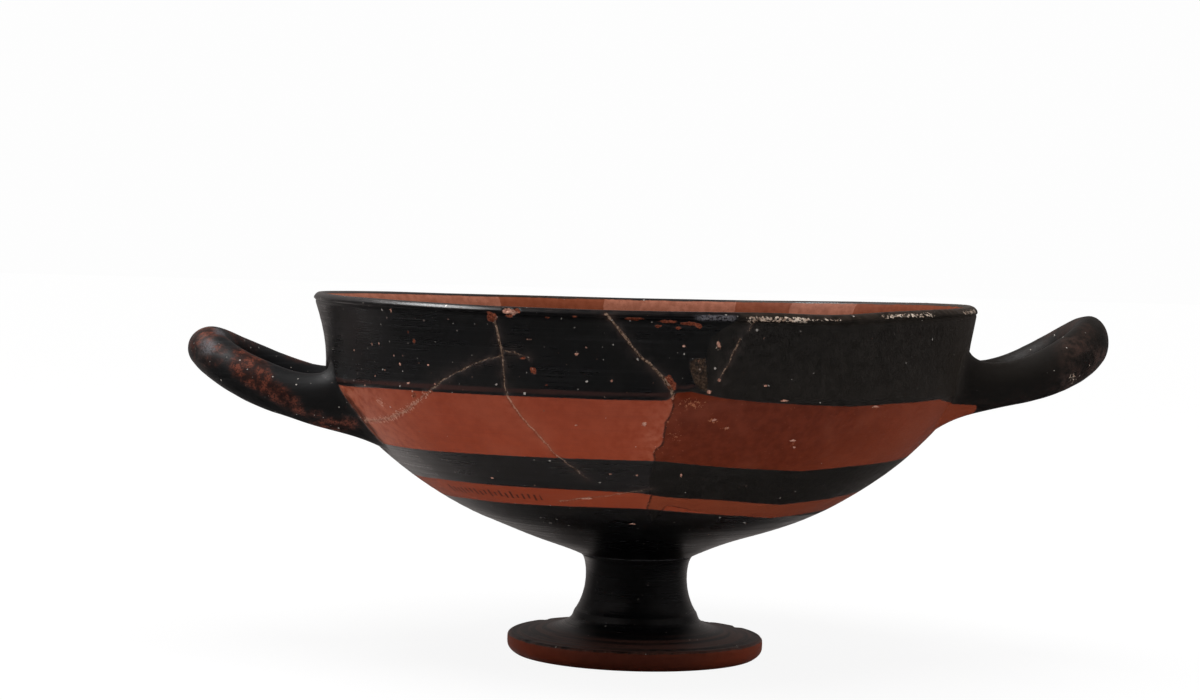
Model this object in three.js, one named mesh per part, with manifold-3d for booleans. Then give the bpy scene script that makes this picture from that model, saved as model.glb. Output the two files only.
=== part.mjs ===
// A stemmed drinking cup of fired clay: a shallow bowl with an offset concave
// lip, a low flaring foot on a short stem, and two upturned loop handles.
// One thrown and fired piece, hollow and open, resting on the ring of its foot.
// Millimetres, +Z up, the foot's axis on the Z axis, the handles along X.

import * as THREE from 'three';
import { mergeVertices } from 'three/addons/utils/BufferGeometryUtils.js';
import Module from 'manifold-3d';

// ---- foot and stem
const REST_INNER_R = 22.5; // flat ring that the cup stands on
const REST_OUTER_R = 28.4;
const FOOT_EDGE_R = 30.0; // fullest part of the foot's edge
const FOOT_EDGE_Z = 2.7;
const FOOT_TOP_R = 29.35; // upper arris of the edge
const FOOT_TOP_Z = 4.5;
const STEM_RING_R = 14.6; // low raised ring where the stem starts
const STEM_RING_Z = 8.2;
const STEM_LOW_R = 14.04;
const STEM_LOW_Z = 10.3;
const STEM_TOP_R = 13.1;
const STEM_TOP_Z = 23.2;
const HOLLOW_TOP_Z = 17.5; // hollow under the foot, up into the stem
const HOLLOW_NECK_R = 6.0;
const HOLLOW_NECK_Z = 12.5;

// ---- bowl and lip
const BOWL_LOW_R = 36.88; // end of the cone under the bowl
const BOWL_LOW_Z = 32.29;
const BOWL_TOP_R = 74.45; // corner between bowl and lip
const BOWL_TOP_Z = 63.8;
const LIP_TOP_R = 76.86; // under the bead
const LIP_TOP_Z = 80.8;
const BEAD_R = 77.2; // rounded bead along the rim
const RIM_Z = 82.8;
const LIP_WALL = 2.7; // thickness just under the bead
const BOWL_WALL = 3.7; // thickness of the bowl's side
const FLOOR_WALL = 4.5; // thickness towards the floor
const FLOOR_R = 22; // inside this the floor is a shallow dish

// ---- the small unevenness of the hand-made piece
const RIM_TILT = 0.29; // degrees, the +X side is higher
const STEM_TILT = 0.9; // degrees, the bowl sits a little askew on the stem
const STEM_TILT_Z = 27;
const RIM_SADDLE = 0.67; // rim rises at the handles and dips between them
const BOWL_SHIFT = 0.37; // the bowl is fuller on the +X side, leaner on the -X side
const LIP_SHIFT = 0.5; // more so at the lip
const RIM_SHIFT = -0.16; // and less again at the rim

// ---- handles: centre line, then thickness
const HANDLES = [
  { side: -1, rootZ: 58.3, rootHalf: 9.6, apexX: 101.3, apexZ: 69.3, spread: 21, lean: 0.0, rise: 1.85, rodHalfH: 5.15, apexHalfH: 4.85, apexHalfW: 4.85 },
  { side: 1, rootZ: 64.9, rootHalf: 8.5, apexX: 104.1, apexZ: 75.9, spread: 20, lean: -0.03, rise: 2.3, rodHalfH: 4.8, apexHalfH: 6.15, apexHalfW: 4.5 },
];
const ROD_HALF_W = 4.8; // half width of a handle's leg
const ROOT_HALF_W = 6.6; // half width of the root on the wall
const ROOT_FLARE = 11.1; // length over which the root spreads
const LOOP_POWER = 2.4; // squareness of the loop seen from above
const ROD_AROUND = 14;
const ROD_ALONG = 24;

const AROUND = 54; // facets around the cup

const v = (r, z) => new THREE.Vector2(r, z);
const bezier = (a, b, c, d, n) => new THREE.CubicBezierCurve(a, b, c, d).getPoints(n);
const polar = (p, deg, len) =>
  v(p.x + len * Math.cos(THREE.MathUtils.degToRad(deg)), p.y + len * Math.sin(THREE.MathUtils.degToRad(deg)));

// ---------------------------------------------------------------- profile

// hollow of the foot, from its crown on the axis out to the resting ring
function hollowCurve() {
  const crown = bezier(
    v(0, HOLLOW_TOP_Z), v(HOLLOW_NECK_R * 0.6, HOLLOW_TOP_Z),
    v(HOLLOW_NECK_R * 0.92, HOLLOW_NECK_Z + 2.6), v(HOLLOW_NECK_R, HOLLOW_NECK_Z), 3);
  const flare = bezier(
    v(HOLLOW_NECK_R, HOLLOW_NECK_Z), v(HOLLOW_NECK_R + 0.7, HOLLOW_NECK_Z - 8),
    v(REST_INNER_R - 5, 3.6), v(REST_INNER_R, 0), 5);
  return [...crown, ...flare.slice(1)];
}

// edge of the foot: tucked in at the floor, fullest at mid height
function footEdge(n) {
  const points = [];
  for (let i = 0; i <= n; i++) {
    const z = (FOOT_TOP_Z * i) / n;
    const r = z < FOOT_EDGE_Z
      ? FOOT_EDGE_R - (FOOT_EDGE_R - REST_OUTER_R) * ((FOOT_EDGE_Z - z) / FOOT_EDGE_Z) ** 3
      : FOOT_EDGE_R - (FOOT_EDGE_R - FOOT_TOP_R) * ((z - FOOT_EDGE_Z) / (FOOT_TOP_Z - FOOT_EDGE_Z)) ** 2;
    points.push(v(r, z));
  }
  return points;
}

function stemCurve() {
  const top = bezier(
    v(FOOT_TOP_R, FOOT_TOP_Z), v(24, FOOT_TOP_Z + 0.6), v(18.4, FOOT_TOP_Z + 1.0),
    v(STEM_RING_R + 0.75, STEM_RING_Z - 0.3), 4);
  const ring = bezier(
    v(STEM_RING_R + 0.75, STEM_RING_Z - 0.3), v(STEM_RING_R, STEM_RING_Z + 0.4),
    v(STEM_RING_R + 0.05, STEM_LOW_Z - 0.5), v(STEM_LOW_R, STEM_LOW_Z), 3);
  const low = v(STEM_LOW_R, STEM_LOW_Z);
  const shaft = bezier(
    low, polar(low, 121, 6.7), v(STEM_TOP_R - 1.0, STEM_TOP_Z - 0.4), v(STEM_TOP_R, STEM_TOP_Z), 5);
  return [...top.slice(1), ...ring.slice(1), ...shaft.slice(1)];
}

// outside of the bowl from the stem to the lip's corner
function bowlCurve() {
  const low = v(BOWL_LOW_R, BOWL_LOW_Z);
  const corner = v(BOWL_TOP_R, BOWL_TOP_Z);
  const cone = bezier(
    v(STEM_TOP_R + 0.25, STEM_TOP_Z + 0.15), v(19.74, 26.39), polar(low, 201.8, 10.9), low, 3);
  const side = bezier(low, polar(low, 21.8, 13.4), polar(corner, 244.5, 14.9), corner, 9);
  return [...cone, ...side.slice(1)];
}

function lipCurve() {
  const corner = v(BOWL_TOP_R, BOWL_TOP_Z);
  const top = v(LIP_TOP_R, LIP_TOP_Z);
  return bezier(corner, polar(corner, 90.4, 7.0), polar(top, 255.3, 5.9), top, 5).slice(1);
}

function beadCurve() {
  const inner = v(LIP_TOP_R - LIP_WALL + 0.45, RIM_Z - 0.9);
  return [
    v(LIP_TOP_R - 0.12, LIP_TOP_Z + 0.35),
    v(BEAD_R - 0.12, LIP_TOP_Z + 0.8),
    v(BEAD_R, LIP_TOP_Z + 1.35),
    v(BEAD_R - 0.5, RIM_Z - 0.15),
    v(BEAD_R - 1.3, RIM_Z),
    v(inner.x + 0.35, RIM_Z - 0.25),
    inner,
  ];
}

// inside of the bowl: the outside moved in by the wall's thickness
function insideCurve(outside) {
  const inside = [];
  for (let i = 1; i < outside.length - 1; i++) {
    const p = outside[i];
    const along = outside[i + 1].clone().sub(outside[i - 1]).normalize();
    const rise = (p.y - BOWL_LOW_Z) / (LIP_TOP_Z - BOWL_LOW_Z);
    const wall = rise < 0
      ? FLOOR_WALL
      : rise < 0.6
        ? THREE.MathUtils.lerp(FLOOR_WALL, BOWL_WALL, rise / 0.6)
        : THREE.MathUtils.lerp(BOWL_WALL, LIP_WALL, (rise - 0.6) / 0.4);
    const q = v(p.x - along.y * wall, p.y + along.x * wall);
    if (q.x > FLOOR_R) inside.push(q);
  }
  const last = inside[0];
  const next = inside[1];
  const slope = (next.y - last.y) / (next.x - last.x);
  const dish = slope / (2 * last.x);
  const floor = [];
  for (const share of [0, 0.35, 0.7]) {
    const r = last.x * share;
    floor.push(v(r, last.y - dish * (last.x ** 2 - r ** 2)));
  }
  return [...floor, ...inside].reverse();
}

function cupProfile() {
  const bowl = bowlCurve();
  const lip = lipCurve();
  return [
    ...hollowCurve(), ...footEdge(4), ...stemCurve(), ...bowl, ...lip, ...beadCurve(),
    ...insideCurve([...bowl, ...lip]),
  ];
}

// ---------------------------------------------------------------- unevenness

function warp(p) {
  if (p.z <= STEM_TOP_Z) return p;
  const angle = Math.atan2(p.y, p.x);
  const r = Math.hypot(p.x, p.y);
  const rise = (p.z - STEM_TOP_Z) / (RIM_Z - STEM_TOP_Z);
  const lip = THREE.MathUtils.clamp((p.z - BOWL_TOP_Z + 3.8) / (RIM_Z - BOWL_TOP_Z + 3.8), 0, 1);
  const shift = (BOWL_SHIFT * THREE.MathUtils.smoothstep(p.z, 26, 50)
    + LIP_SHIFT * Math.sin(Math.PI * lip) + RIM_SHIFT * lip * lip) * Math.cos(angle);
  const tilt = RIM_TILT * rise + STEM_TILT * Math.exp(-(((p.z - STEM_TILT_Z) / 2.8) ** 2));
  const saddle = THREE.MathUtils.clamp((p.z - BOWL_TOP_Z + 6) / (RIM_Z - BOWL_TOP_Z + 6), 0, 1);
  p.x += shift * Math.cos(angle);
  p.y += shift * Math.sin(angle);
  p.z += r * Math.cos(angle) * Math.tan(THREE.MathUtils.degToRad(tilt))
    + RIM_SADDLE * Math.cos(2 * angle) * saddle * saddle;
  return p;
}

// ---------------------------------------------------------------- handles

const wallCurve = [...bowlCurve(), ...lipCurve()];

// radius of the bowl's outside at a height
function wallRadius(z) {
  for (let i = 1; i < wallCurve.length; i++) {
    const a = wallCurve[i - 1];
    const b = wallCurve[i];
    if (z <= b.y) return a.x + ((b.x - a.x) * (z - a.y)) / (b.y - a.y);
  }
  return wallCurve[wallCurve.length - 1].x;
}

// a point inside the wall's thickness, straight behind a point of the root
function insideWall(side, y, z, depth) {
  return new THREE.Vector3(side * Math.sqrt((wallRadius(z) - depth) ** 2 - y * y), y, z);
}

function handleSolid(h) {
  const rootX = Math.sqrt(wallRadius(h.rootZ) ** 2 - h.spread ** 2);
  const centre = (u) => {
    const turn = (u * Math.PI) / 2;
    const out = Math.abs(Math.cos(turn)) ** (2 / LOOP_POWER);
    const y = h.spread * Math.sign(u) * Math.abs(Math.sin(turn)) ** (2 / LOOP_POWER);
    return new THREE.Vector3(
      h.side * (rootX + (h.apexX - rootX) * out), y,
      h.rootZ + (h.apexZ - h.rootZ) * out ** h.rise + h.lean * y);
  };
  const rings = [];
  const push = (u) => {
    const c = centre(u);
    const tangent = centre(Math.min(u + 0.004, 1)).sub(centre(Math.max(u - 0.004, -1))).normalize();
    const across = new THREE.Vector3().crossVectors(tangent, new THREE.Vector3(0, 0, 1)).normalize();
    const up = new THREE.Vector3().crossVectors(across, tangent);
    const fromWall = Math.abs(c.x) - rootX;
    const flare = Math.max(0, 1 - fromWall / ROOT_FLARE) ** 2;
    const bend = Math.cos((u * Math.PI) / 2) ** 2;
    const halfH = THREE.MathUtils.lerp(h.rodHalfH, h.apexHalfH, bend) + (h.rootHalf - h.rodHalfH) * flare;
    const halfW = THREE.MathUtils.lerp(ROD_HALF_W, h.apexHalfW, bend) + (ROOT_HALF_W - ROD_HALF_W) * flare;
    const ring = [];
    for (let k = 0; k < ROD_AROUND; k++) {
      const a = (2 * Math.PI * k) / ROD_AROUND;
      ring.push(c.clone().addScaledVector(across, halfW * Math.cos(a)).addScaledVector(up, halfH * Math.sin(a)));
    }
    rings.push(ring);
  };
  // the ends of the rod are bedded in the wall's thickness
  const bed = (end) => {
    const ring = [];
    for (let k = 0; k < ROD_AROUND; k++) {
      const a = (2 * Math.PI * k) / ROD_AROUND;
      const y = end * (h.spread + h.side * ROOT_HALF_W * Math.cos(a));
      const z = h.rootZ + h.lean * y + h.rootHalf * Math.sin(a);
      ring.push(insideWall(h.side, y, z, BOWL_WALL * 0.5));
    }
    rings.push(ring);
  };
  bed(-1);
  for (let i = 0; i <= ROD_ALONG; i++) push(-0.985 + (1.97 * i) / ROD_ALONG);
  bed(1);

  const position = [];
  const index = [];
  for (const ring of rings) for (const p of ring) position.push(p.x, p.y, p.z);
  const at = (i, k) => i * ROD_AROUND + (k % ROD_AROUND);
  for (let i = 0; i + 1 < rings.length; i++) {
    for (let k = 0; k < ROD_AROUND; k++) {
      index.push(at(i, k), at(i + 1, k), at(i + 1, k + 1), at(i, k), at(i + 1, k + 1), at(i, k + 1));
    }
  }
  for (const [end, i] of [[-1, 0], [1, rings.length - 1]]) {
    const z = h.rootZ + h.lean * end * h.spread;
    const c = insideWall(h.side, end * h.spread, z, BOWL_WALL * 0.5);
    const hub = position.length / 3;
    position.push(c.x, c.y, c.z);
    for (let k = 0; k < ROD_AROUND; k++) {
      if (end < 0) index.push(hub, at(i, k), at(i, k + 1));
      else index.push(hub, at(i, k + 1), at(i, k));
    }
  }
  const geometry = new THREE.BufferGeometry();
  geometry.setAttribute('position', new THREE.Float32BufferAttribute(position, 3));
  geometry.setIndex(index);
  return geometry;
}

// ---------------------------------------------------------------- solids

const wasm = await Module();
wasm.setup();

// closed mesh with shared vertices, no flat-to-nothing triangles, faces out
function toSolid(geometry) {
  const plain = geometry.clone();
  plain.deleteAttribute('normal');
  plain.deleteAttribute('uv');
  const merged = mergeVertices(plain, 1e-4);
  const p = merged.getAttribute('position');
  const index = merged.getIndex().array;
  const triangles = [];
  let volume = 0;
  const [a, b, c] = [new THREE.Vector3(), new THREE.Vector3(), new THREE.Vector3()];
  for (let i = 0; i < index.length; i += 3) {
    const [j, k, l] = [index[i], index[i + 1], index[i + 2]];
    if (j === k || k === l || l === j) continue;
    triangles.push(j, k, l);
    a.fromBufferAttribute(p, j);
    b.fromBufferAttribute(p, k);
    c.fromBufferAttribute(p, l);
    volume += a.dot(b.cross(c));
  }
  if (volume < 0) for (let i = 0; i < triangles.length; i += 3) [triangles[i + 1], triangles[i + 2]] = [triangles[i + 2], triangles[i + 1]];
  return new wasm.Manifold(new wasm.Mesh({
    numProp: 3, vertProperties: new Float32Array(p.array), triVerts: new Uint32Array(triangles),
  }));
}

function toGeometry(solid) {
  const mesh = solid.getMesh();
  const geometry = new THREE.BufferGeometry();
  geometry.setAttribute('position', new THREE.BufferAttribute(new Float32Array(mesh.vertProperties), 3));
  geometry.setIndex(new THREE.BufferAttribute(new Uint32Array(mesh.triVerts), 1));
  geometry.computeVertexNormals();
  return geometry;
}

function cupGeometry() {
  const turned = new THREE.LatheGeometry(cupProfile(), AROUND);
  turned.rotateX(Math.PI / 2);
  const p = turned.getAttribute('position');
  const point = new THREE.Vector3();
  for (let i = 0; i < p.count; i++) {
    point.fromBufferAttribute(p, i);
    warp(point);
    p.setXYZ(i, point.x, point.y, point.z);
  }
  return turned;
}

let cup = toSolid(cupGeometry());
for (const h of HANDLES) cup = cup.add(toSolid(handleSolid(h)));

const glazedClay = new THREE.MeshStandardMaterial({ color: 0x211f1e, roughness: 0.32, metalness: 0 });

const kylix = new THREE.Mesh(toGeometry(cup), glazedClay);
kylix.name = 'kylix';

const group = new THREE.Group();
group.name = 'stemmed_cup';
group.add(kylix);

export default group;
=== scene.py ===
import itertools
import math

import bpy
import numpy as np
from mathutils import Matrix, Vector, kdtree
from mathutils.geometry import delaunay_2d_cdt


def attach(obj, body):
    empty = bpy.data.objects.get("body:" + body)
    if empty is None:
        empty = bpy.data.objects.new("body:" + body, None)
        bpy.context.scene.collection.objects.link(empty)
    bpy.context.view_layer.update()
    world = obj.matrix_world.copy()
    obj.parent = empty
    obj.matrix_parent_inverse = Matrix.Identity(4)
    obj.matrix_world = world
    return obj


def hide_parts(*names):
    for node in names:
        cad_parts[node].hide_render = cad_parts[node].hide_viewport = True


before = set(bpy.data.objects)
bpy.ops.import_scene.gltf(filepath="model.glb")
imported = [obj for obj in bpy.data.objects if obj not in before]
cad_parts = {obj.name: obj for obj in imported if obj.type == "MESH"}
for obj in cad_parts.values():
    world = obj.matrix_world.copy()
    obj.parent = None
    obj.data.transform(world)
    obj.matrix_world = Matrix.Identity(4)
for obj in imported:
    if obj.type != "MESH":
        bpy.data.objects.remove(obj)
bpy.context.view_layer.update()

MM = 0.001
TAU = 2 * math.pi

# ------------------------------------------------------------------ camera
# pinhole of the photograph, 1200 x 700 pixels, millimetres
FOCAL_PX = 2614.3
EYE = np.array([-9.95, -612.8, 94.06])
PITCH = math.radians(2.155)
ROLL = math.radians(1.522)
FORWARD = np.array([0, math.cos(PITCH), -math.sin(PITCH)])
FLAT_RIGHT = np.array([1.0, 0, 0])
FLAT_UP = np.cross(FLAT_RIGHT, FORWARD)
CAM_RIGHT = math.cos(ROLL) * FLAT_RIGHT + math.sin(ROLL) * FLAT_UP
CAM_UP = -math.sin(ROLL) * FLAT_RIGHT + math.cos(ROLL) * FLAT_UP

# ------------------------------------------------------------------ sizes, mm
REST_INNER_R, REST_OUTER_R = 22.5, 28.4
FOOT_EDGE_R, FOOT_EDGE_Z = 30.0, 2.7
FOOT_TOP_R, FOOT_TOP_Z = 29.35, 4.5
STEM_RING_R, STEM_RING_Z = 14.6, 8.2
STEM_LOW_R, STEM_LOW_Z = 14.04, 10.3
STEM_TOP_R, STEM_TOP_Z = 13.1, 23.2
HOLLOW_TOP_Z, HOLLOW_NECK_R, HOLLOW_NECK_Z = 17.5, 6.0, 12.5
BOWL_LOW = (36.88, 32.29)
BOWL_TOP = (74.45, 63.8)
LIP_TOP = (76.86, 80.8)
BEAD_R, RIM_Z = 77.2, 82.8
LIP_WALL, BOWL_WALL, FLOOR_WALL, FLOOR_R = 2.7, 3.7, 4.5, 22.0
RIM_TILT, STEM_TILT, STEM_TILT_Z, RIM_SADDLE = 0.29, 0.9, 27.0, 0.67
BOWL_SHIFT, LIP_SHIFT, RIM_SHIFT = 0.37, 0.5, -0.16
HANDLES = (
    dict(side=-1, rootZ=58.3, rootHalf=9.6, apexX=101.3, apexZ=69.3, spread=21.0, lean=0.0, rise=1.85, rodHalfH=5.15, apexHalfH=4.85, apexHalfW=4.85),
    dict(side=1, rootZ=64.9, rootHalf=8.5, apexX=104.1, apexZ=75.9, spread=20.0, lean=-0.03, rise=2.3, rodHalfH=4.8, apexHalfH=6.15, apexHalfW=4.5),
)
ROD_HALF_W, ROOT_HALF_W, ROOT_FLARE = 4.8, 6.6, 11.1
LOOP_POWER = 2.4
INSIDE_SPLIT_Z = 70.0  # the worked-out lip region ends here inside the bowl

AROUND_LOW, AROUND_IN, AROUND_ROD = 192, 280, 48
THETA0 = -1.5 * math.pi  # the joint of the unrolled wall, at the back


# ------------------------------------------------------------------ small tools
def bez(a, b, c, d, n):
    t = np.linspace(0, 1, n + 1)[:, None]
    a, b, c, d = (np.asarray(p, float) for p in (a, b, c, d))
    return (1 - t) ** 3 * a + 3 * (1 - t) ** 2 * t * b + 3 * (1 - t) * t * t * c + t**3 * d


def polar(p, deg, length):
    return (p[0] + length * math.cos(math.radians(deg)), p[1] + length * math.sin(math.radians(deg)))


def spline(points, n):
    p = np.asarray(points, float)
    p = np.vstack([2 * p[0] - p[1], p, 2 * p[-1] - p[-2]])
    out = []
    for i in range(1, len(p) - 2):
        t = np.linspace(0, 1, n, endpoint=False)[:, None]
        a, b, c, d = p[i - 1], p[i], p[i + 1], p[i + 2]
        out.append(0.5 * (2 * b + (c - a) * t + (2 * a - 5 * b + 4 * c - d) * t**2 + (3 * b - a - 3 * c + d) * t**3))
    out.append(p[-2][None])
    return np.vstack(out)


def smooth(a, b, x):
    t = np.clip((np.asarray(x, float) - a) / (b - a), 0, 1)
    return t * t * (3 - 2 * t)


def hashed(i, j, k, seed):
    h = (i * 374761393 + j * 668265263 + k * 1442695041 + seed * 974634777) & 0xFFFFFFFF
    h = ((h ^ (h >> 13)) * 1274126177) & 0xFFFFFFFF
    return ((h ^ (h >> 16)) & 0xFFFF) / 32767.5 - 1


def wave(p, seed):
    """Smooth noise from -1 to 1 at points p (n, 3)."""
    p = np.asarray(p, float)
    i = np.floor(p).astype(np.int64)
    f = p - i
    w = f * f * f * (f * (f * 6 - 15) + 10)
    total = np.zeros(len(p))
    for corner in itertools.product((0, 1), repeat=3):
        share = np.ones(len(p))
        for axis, up in enumerate(corner):
            share = share * (w[:, axis] if up else 1 - w[:, axis])
        total += share * hashed(i[:, 0] + corner[0], i[:, 1] + corner[1], i[:, 2] + corner[2], seed)
    return total


def waves(p, seed, octaves=3):
    total, size = 0, 1.0
    for k in range(octaves):
        total = total + size * wave(p * 2.03**k + 7.7 * k, seed + k)
        size *= 0.5
    return total / 1.75


# ------------------------------------------------------------------ profile
def hollow_curve(n):
    crown = bez((0, HOLLOW_TOP_Z), (HOLLOW_NECK_R * 0.6, HOLLOW_TOP_Z), (HOLLOW_NECK_R * 0.92, HOLLOW_NECK_Z + 2.6), (HOLLOW_NECK_R, HOLLOW_NECK_Z), n)
    flare = bez((HOLLOW_NECK_R, HOLLOW_NECK_Z), (HOLLOW_NECK_R + 0.7, HOLLOW_NECK_Z - 8), (REST_INNER_R - 5, 3.6), (REST_INNER_R, 0), 2 * n)
    return np.vstack([crown, flare[1:]])


def foot_edge(n):
    z = np.linspace(0, FOOT_TOP_Z, n + 1)
    low = FOOT_EDGE_R - (FOOT_EDGE_R - REST_OUTER_R) * np.clip((FOOT_EDGE_Z - z) / FOOT_EDGE_Z, 0, 1) ** 3
    high = (FOOT_EDGE_R - FOOT_TOP_R) * np.clip((z - FOOT_EDGE_Z) / (FOOT_TOP_Z - FOOT_EDGE_Z), 0, 1) ** 6
    return np.c_[low - high, z]


def stem_curve(n):
    ring_low = (STEM_RING_R + 0.75, STEM_RING_Z - 0.3)
    stem_low = (STEM_LOW_R, STEM_LOW_Z)
    top = bez((FOOT_TOP_R, FOOT_TOP_Z), (24, FOOT_TOP_Z + 0.6), (18.4, FOOT_TOP_Z + 1.0), ring_low, n)
    ring = bez(ring_low, (STEM_RING_R, STEM_RING_Z + 0.4), (STEM_RING_R + 0.05, STEM_LOW_Z - 0.5), stem_low, n)
    shaft = bez(stem_low, polar(stem_low, 121, 6.7), (STEM_TOP_R - 1.0, STEM_TOP_Z - 0.4), (STEM_TOP_R, STEM_TOP_Z), n)
    return top, ring, shaft


CONE = bez((STEM_TOP_R + 0.25, STEM_TOP_Z + 0.15), (19.74, 26.39), polar(BOWL_LOW, 201.8, 10.9), BOWL_LOW, 240)
SIDE = bez(BOWL_LOW, polar(BOWL_LOW, 21.8, 13.4), polar(BOWL_TOP, 244.5, 14.9), BOWL_TOP, 600)
LIP = bez(BOWL_TOP, polar(BOWL_TOP, 90.4, 7.0), polar(LIP_TOP, 255.3, 5.9), LIP_TOP, 260)
INNER_RIM = (LIP_TOP[0] - LIP_WALL + 0.45, RIM_Z - 0.9)
BEAD = spline(
    [
        LIP_TOP,
        (LIP_TOP[0] - 0.14, LIP_TOP[1] + 0.28),
        (BEAD_R - 0.2, LIP_TOP[1] + 0.55),
        (BEAD_R, LIP_TOP[1] + 0.85),
        (BEAD_R - 0.22, LIP_TOP[1] + 1.22),
        (BEAD_R - 0.75, RIM_Z - 0.22),
        (BEAD_R - 1.35, RIM_Z),
        (INNER_RIM[0] + 0.35, RIM_Z - 0.25),
        INNER_RIM,
    ],
    14,
)
OUTSIDE = np.vstack([CONE, SIDE[1:], LIP[1:]])


def inside_curve():
    along = np.gradient(OUTSIDE, axis=0)
    along /= np.linalg.norm(along, axis=1)[:, None]
    rise = (OUTSIDE[:, 1] - BOWL_LOW[1]) / (LIP_TOP[1] - BOWL_LOW[1])
    wall = np.interp(rise, [0, 0.6, 1], [FLOOR_WALL, BOWL_WALL, LIP_WALL])
    inner = np.c_[OUTSIDE[:, 0] - along[:, 1] * wall, OUTSIDE[:, 1] + along[:, 0] * wall]
    inner = inner[inner[:, 0] > FLOOR_R]
    # the wall's offset is eased where the bowl meets the lip
    for _ in range(60):
        inner[1:-1] += 0.5 * (0.5 * (inner[2:] + inner[:-2]) - inner[1:-1])
    last, nxt = inner[0], inner[12]
    dish = (nxt[1] - last[1]) / (nxt[0] - last[0]) / (2 * last[0])
    r = np.linspace(0, last[0], 60, endpoint=False)
    return np.vstack([np.c_[r, last[1] - dish * (last[0] ** 2 - r**2)], inner])[::-1]


INSIDE = inside_curve()
INSIDE = INSIDE[INSIDE[:, 1] < INNER_RIM[1] - 0.35]
split = int(np.argmax(INSIDE[:, 1] < INSIDE_SPLIT_Z))
UPPER = np.vstack([SIDE, LIP[1:], BEAD[1:], INSIDE[: split + 1]])
INNER = INSIDE[split:]


class Curve:
    """A profile read by its length."""

    def __init__(self, points):
        p = np.asarray(points, float)
        step = np.hypot(*np.diff(p, axis=0).T)
        keep = np.r_[True, step > 1e-6]
        p = p[keep]
        self.p = p
        self.s = np.r_[0, np.cumsum(np.hypot(*np.diff(p, axis=0).T))]
        t = np.gradient(p, self.s, axis=0)
        t /= np.linalg.norm(t, axis=1)[:, None]
        self.n = np.c_[t[:, 1], -t[:, 0]]
        self.length = self.s[-1]

    def at(self, s):
        return np.interp(s, self.s, self.p[:, 0]), np.interp(s, self.s, self.p[:, 1])

    def normal(self, s):
        n = np.c_[np.interp(s, self.s, self.n[:, 0]), np.interp(s, self.s, self.n[:, 1])]
        return n / np.linalg.norm(n, axis=1)[:, None]


upper = Curve(UPPER)
S_CORNER = float(np.interp(BOWL_TOP[1], upper.p[: len(SIDE) + 20, 1], upper.s[: len(SIDE) + 20]))
S_LIP = float(Curve(np.vstack([SIDE, LIP[1:]])).length)
S_CREST = float(upper.s[np.argmax(upper.p[:, 1])])
S_END = float(upper.length)
OUT_Z = np.r_[OUTSIDE[:, 1], BEAD[1:40, 1]]
OUT_R = np.r_[OUTSIDE[:, 0], BEAD[1:40, 0]]
rising = np.r_[True, np.diff(np.maximum.accumulate(OUT_Z)) > 1e-9]
OUT_Z, OUT_R = OUT_Z[rising], OUT_R[rising]
outer_mask = upper.s <= S_LIP + 1.6
S_OF_Z = (upper.p[outer_mask, 1], upper.s[outer_mask])


def wall_radius(z):
    return np.interp(z, OUT_Z, OUT_R)


def s_of_z(z):
    return np.interp(z, *S_OF_Z)


# ------------------------------------------------------------------ unevenness of the whole cup
def warp_terms(theta, r, z):
    above = z > STEM_TOP_Z
    up = np.clip(z - STEM_TOP_Z, 0, None) / (RIM_Z - STEM_TOP_Z)
    lip = np.clip((z - BOWL_TOP[1] + 3.8) / (RIM_Z - BOWL_TOP[1] + 3.8), 0, 1)
    saddle = np.clip((z - BOWL_TOP[1] + 6) / (RIM_Z - BOWL_TOP[1] + 6), 0, 1)
    shift = (BOWL_SHIFT * smooth(26, 50, z) + LIP_SHIFT * np.sin(math.pi * lip) + RIM_SHIFT * lip * lip) * np.cos(theta)
    tilt = RIM_TILT * up + STEM_TILT * np.exp(-(((z - STEM_TILT_Z) / 2.8) ** 2))
    lift = r * np.cos(theta) * np.tan(np.radians(tilt)) + RIM_SADDLE * np.cos(2 * theta) * saddle * saddle
    return shift * above, lift * above


def placed(theta, r, z):
    """Millimetre points of the cup from turn, radius and height on the wheel."""
    swell, lift = warp_terms(theta, r, z)
    return np.c_[(r + swell) * np.cos(theta), (r + swell) * np.sin(theta), z + lift]


RAY = np.linspace(500, 660, 3201)


def spot(px, py):
    """Turn and height on the wheel of the outside wall under a pixel of the photograph."""
    d = FORWARD + (px - 600) / FOCAL_PX * CAM_RIGHT - (py - 350) / FOCAL_PX * CAM_UP
    p = EYE + RAY[:, None] * d
    theta = np.arctan2(p[:, 1], p[:, 0])
    r = np.hypot(p[:, 0], p[:, 1])
    swell, lift = warp_terms(theta, r, p[:, 2])
    r, z = r - swell, p[:, 2] - lift
    gap = r - wall_radius(z)
    gap[(z < STEM_TOP_Z + 0.2) | (z > RIM_Z - 0.55)] = 9.0
    i = int(np.argmax(gap < 0)) if np.any(gap < 0) else int(np.argmin(gap))
    t = theta[i]
    return (t - TAU if t > 0.5 * math.pi else t), z[i]


def spots(pixels):
    return np.array([spot(*q) for q in pixels])


# ------------------------------------------------------------------ what the photograph shows on the wall, pixels
WIDE_TOP = [(346, 386.4), (380, 388), (420, 391), (460, 393.4), (500, 395.4), (560, 397.8), (600, 399.4), (650, 400.4), (668, 400.4), (676, 393), (690, 391.6), (704, 394.6), (722, 398), (760, 402.4), (800, 404.7), (850, 406.6), (890, 403.8), (930, 400.9)]
WIDE_LOW = [(420, 449.6), (500, 455), (560, 457.8), (600, 459.2), (655, 460.8), (665, 461.4), (720, 467), (770, 470), (800, 471), (850, 466), (885, 462)]
NARROW_TOP = [(440, 479), (460, 481.6), (500, 485.4), (560, 489), (600, 491), (640, 493.2), (665, 497), (720, 500), (780, 505)]
NARROW_LOW = [(470, 498.6), (500, 502.2), (530, 504.3), (560, 505.8), (600, 507.3), (640, 508.6), (660, 510.2), (720, 514.6), (770, 518)]

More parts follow.
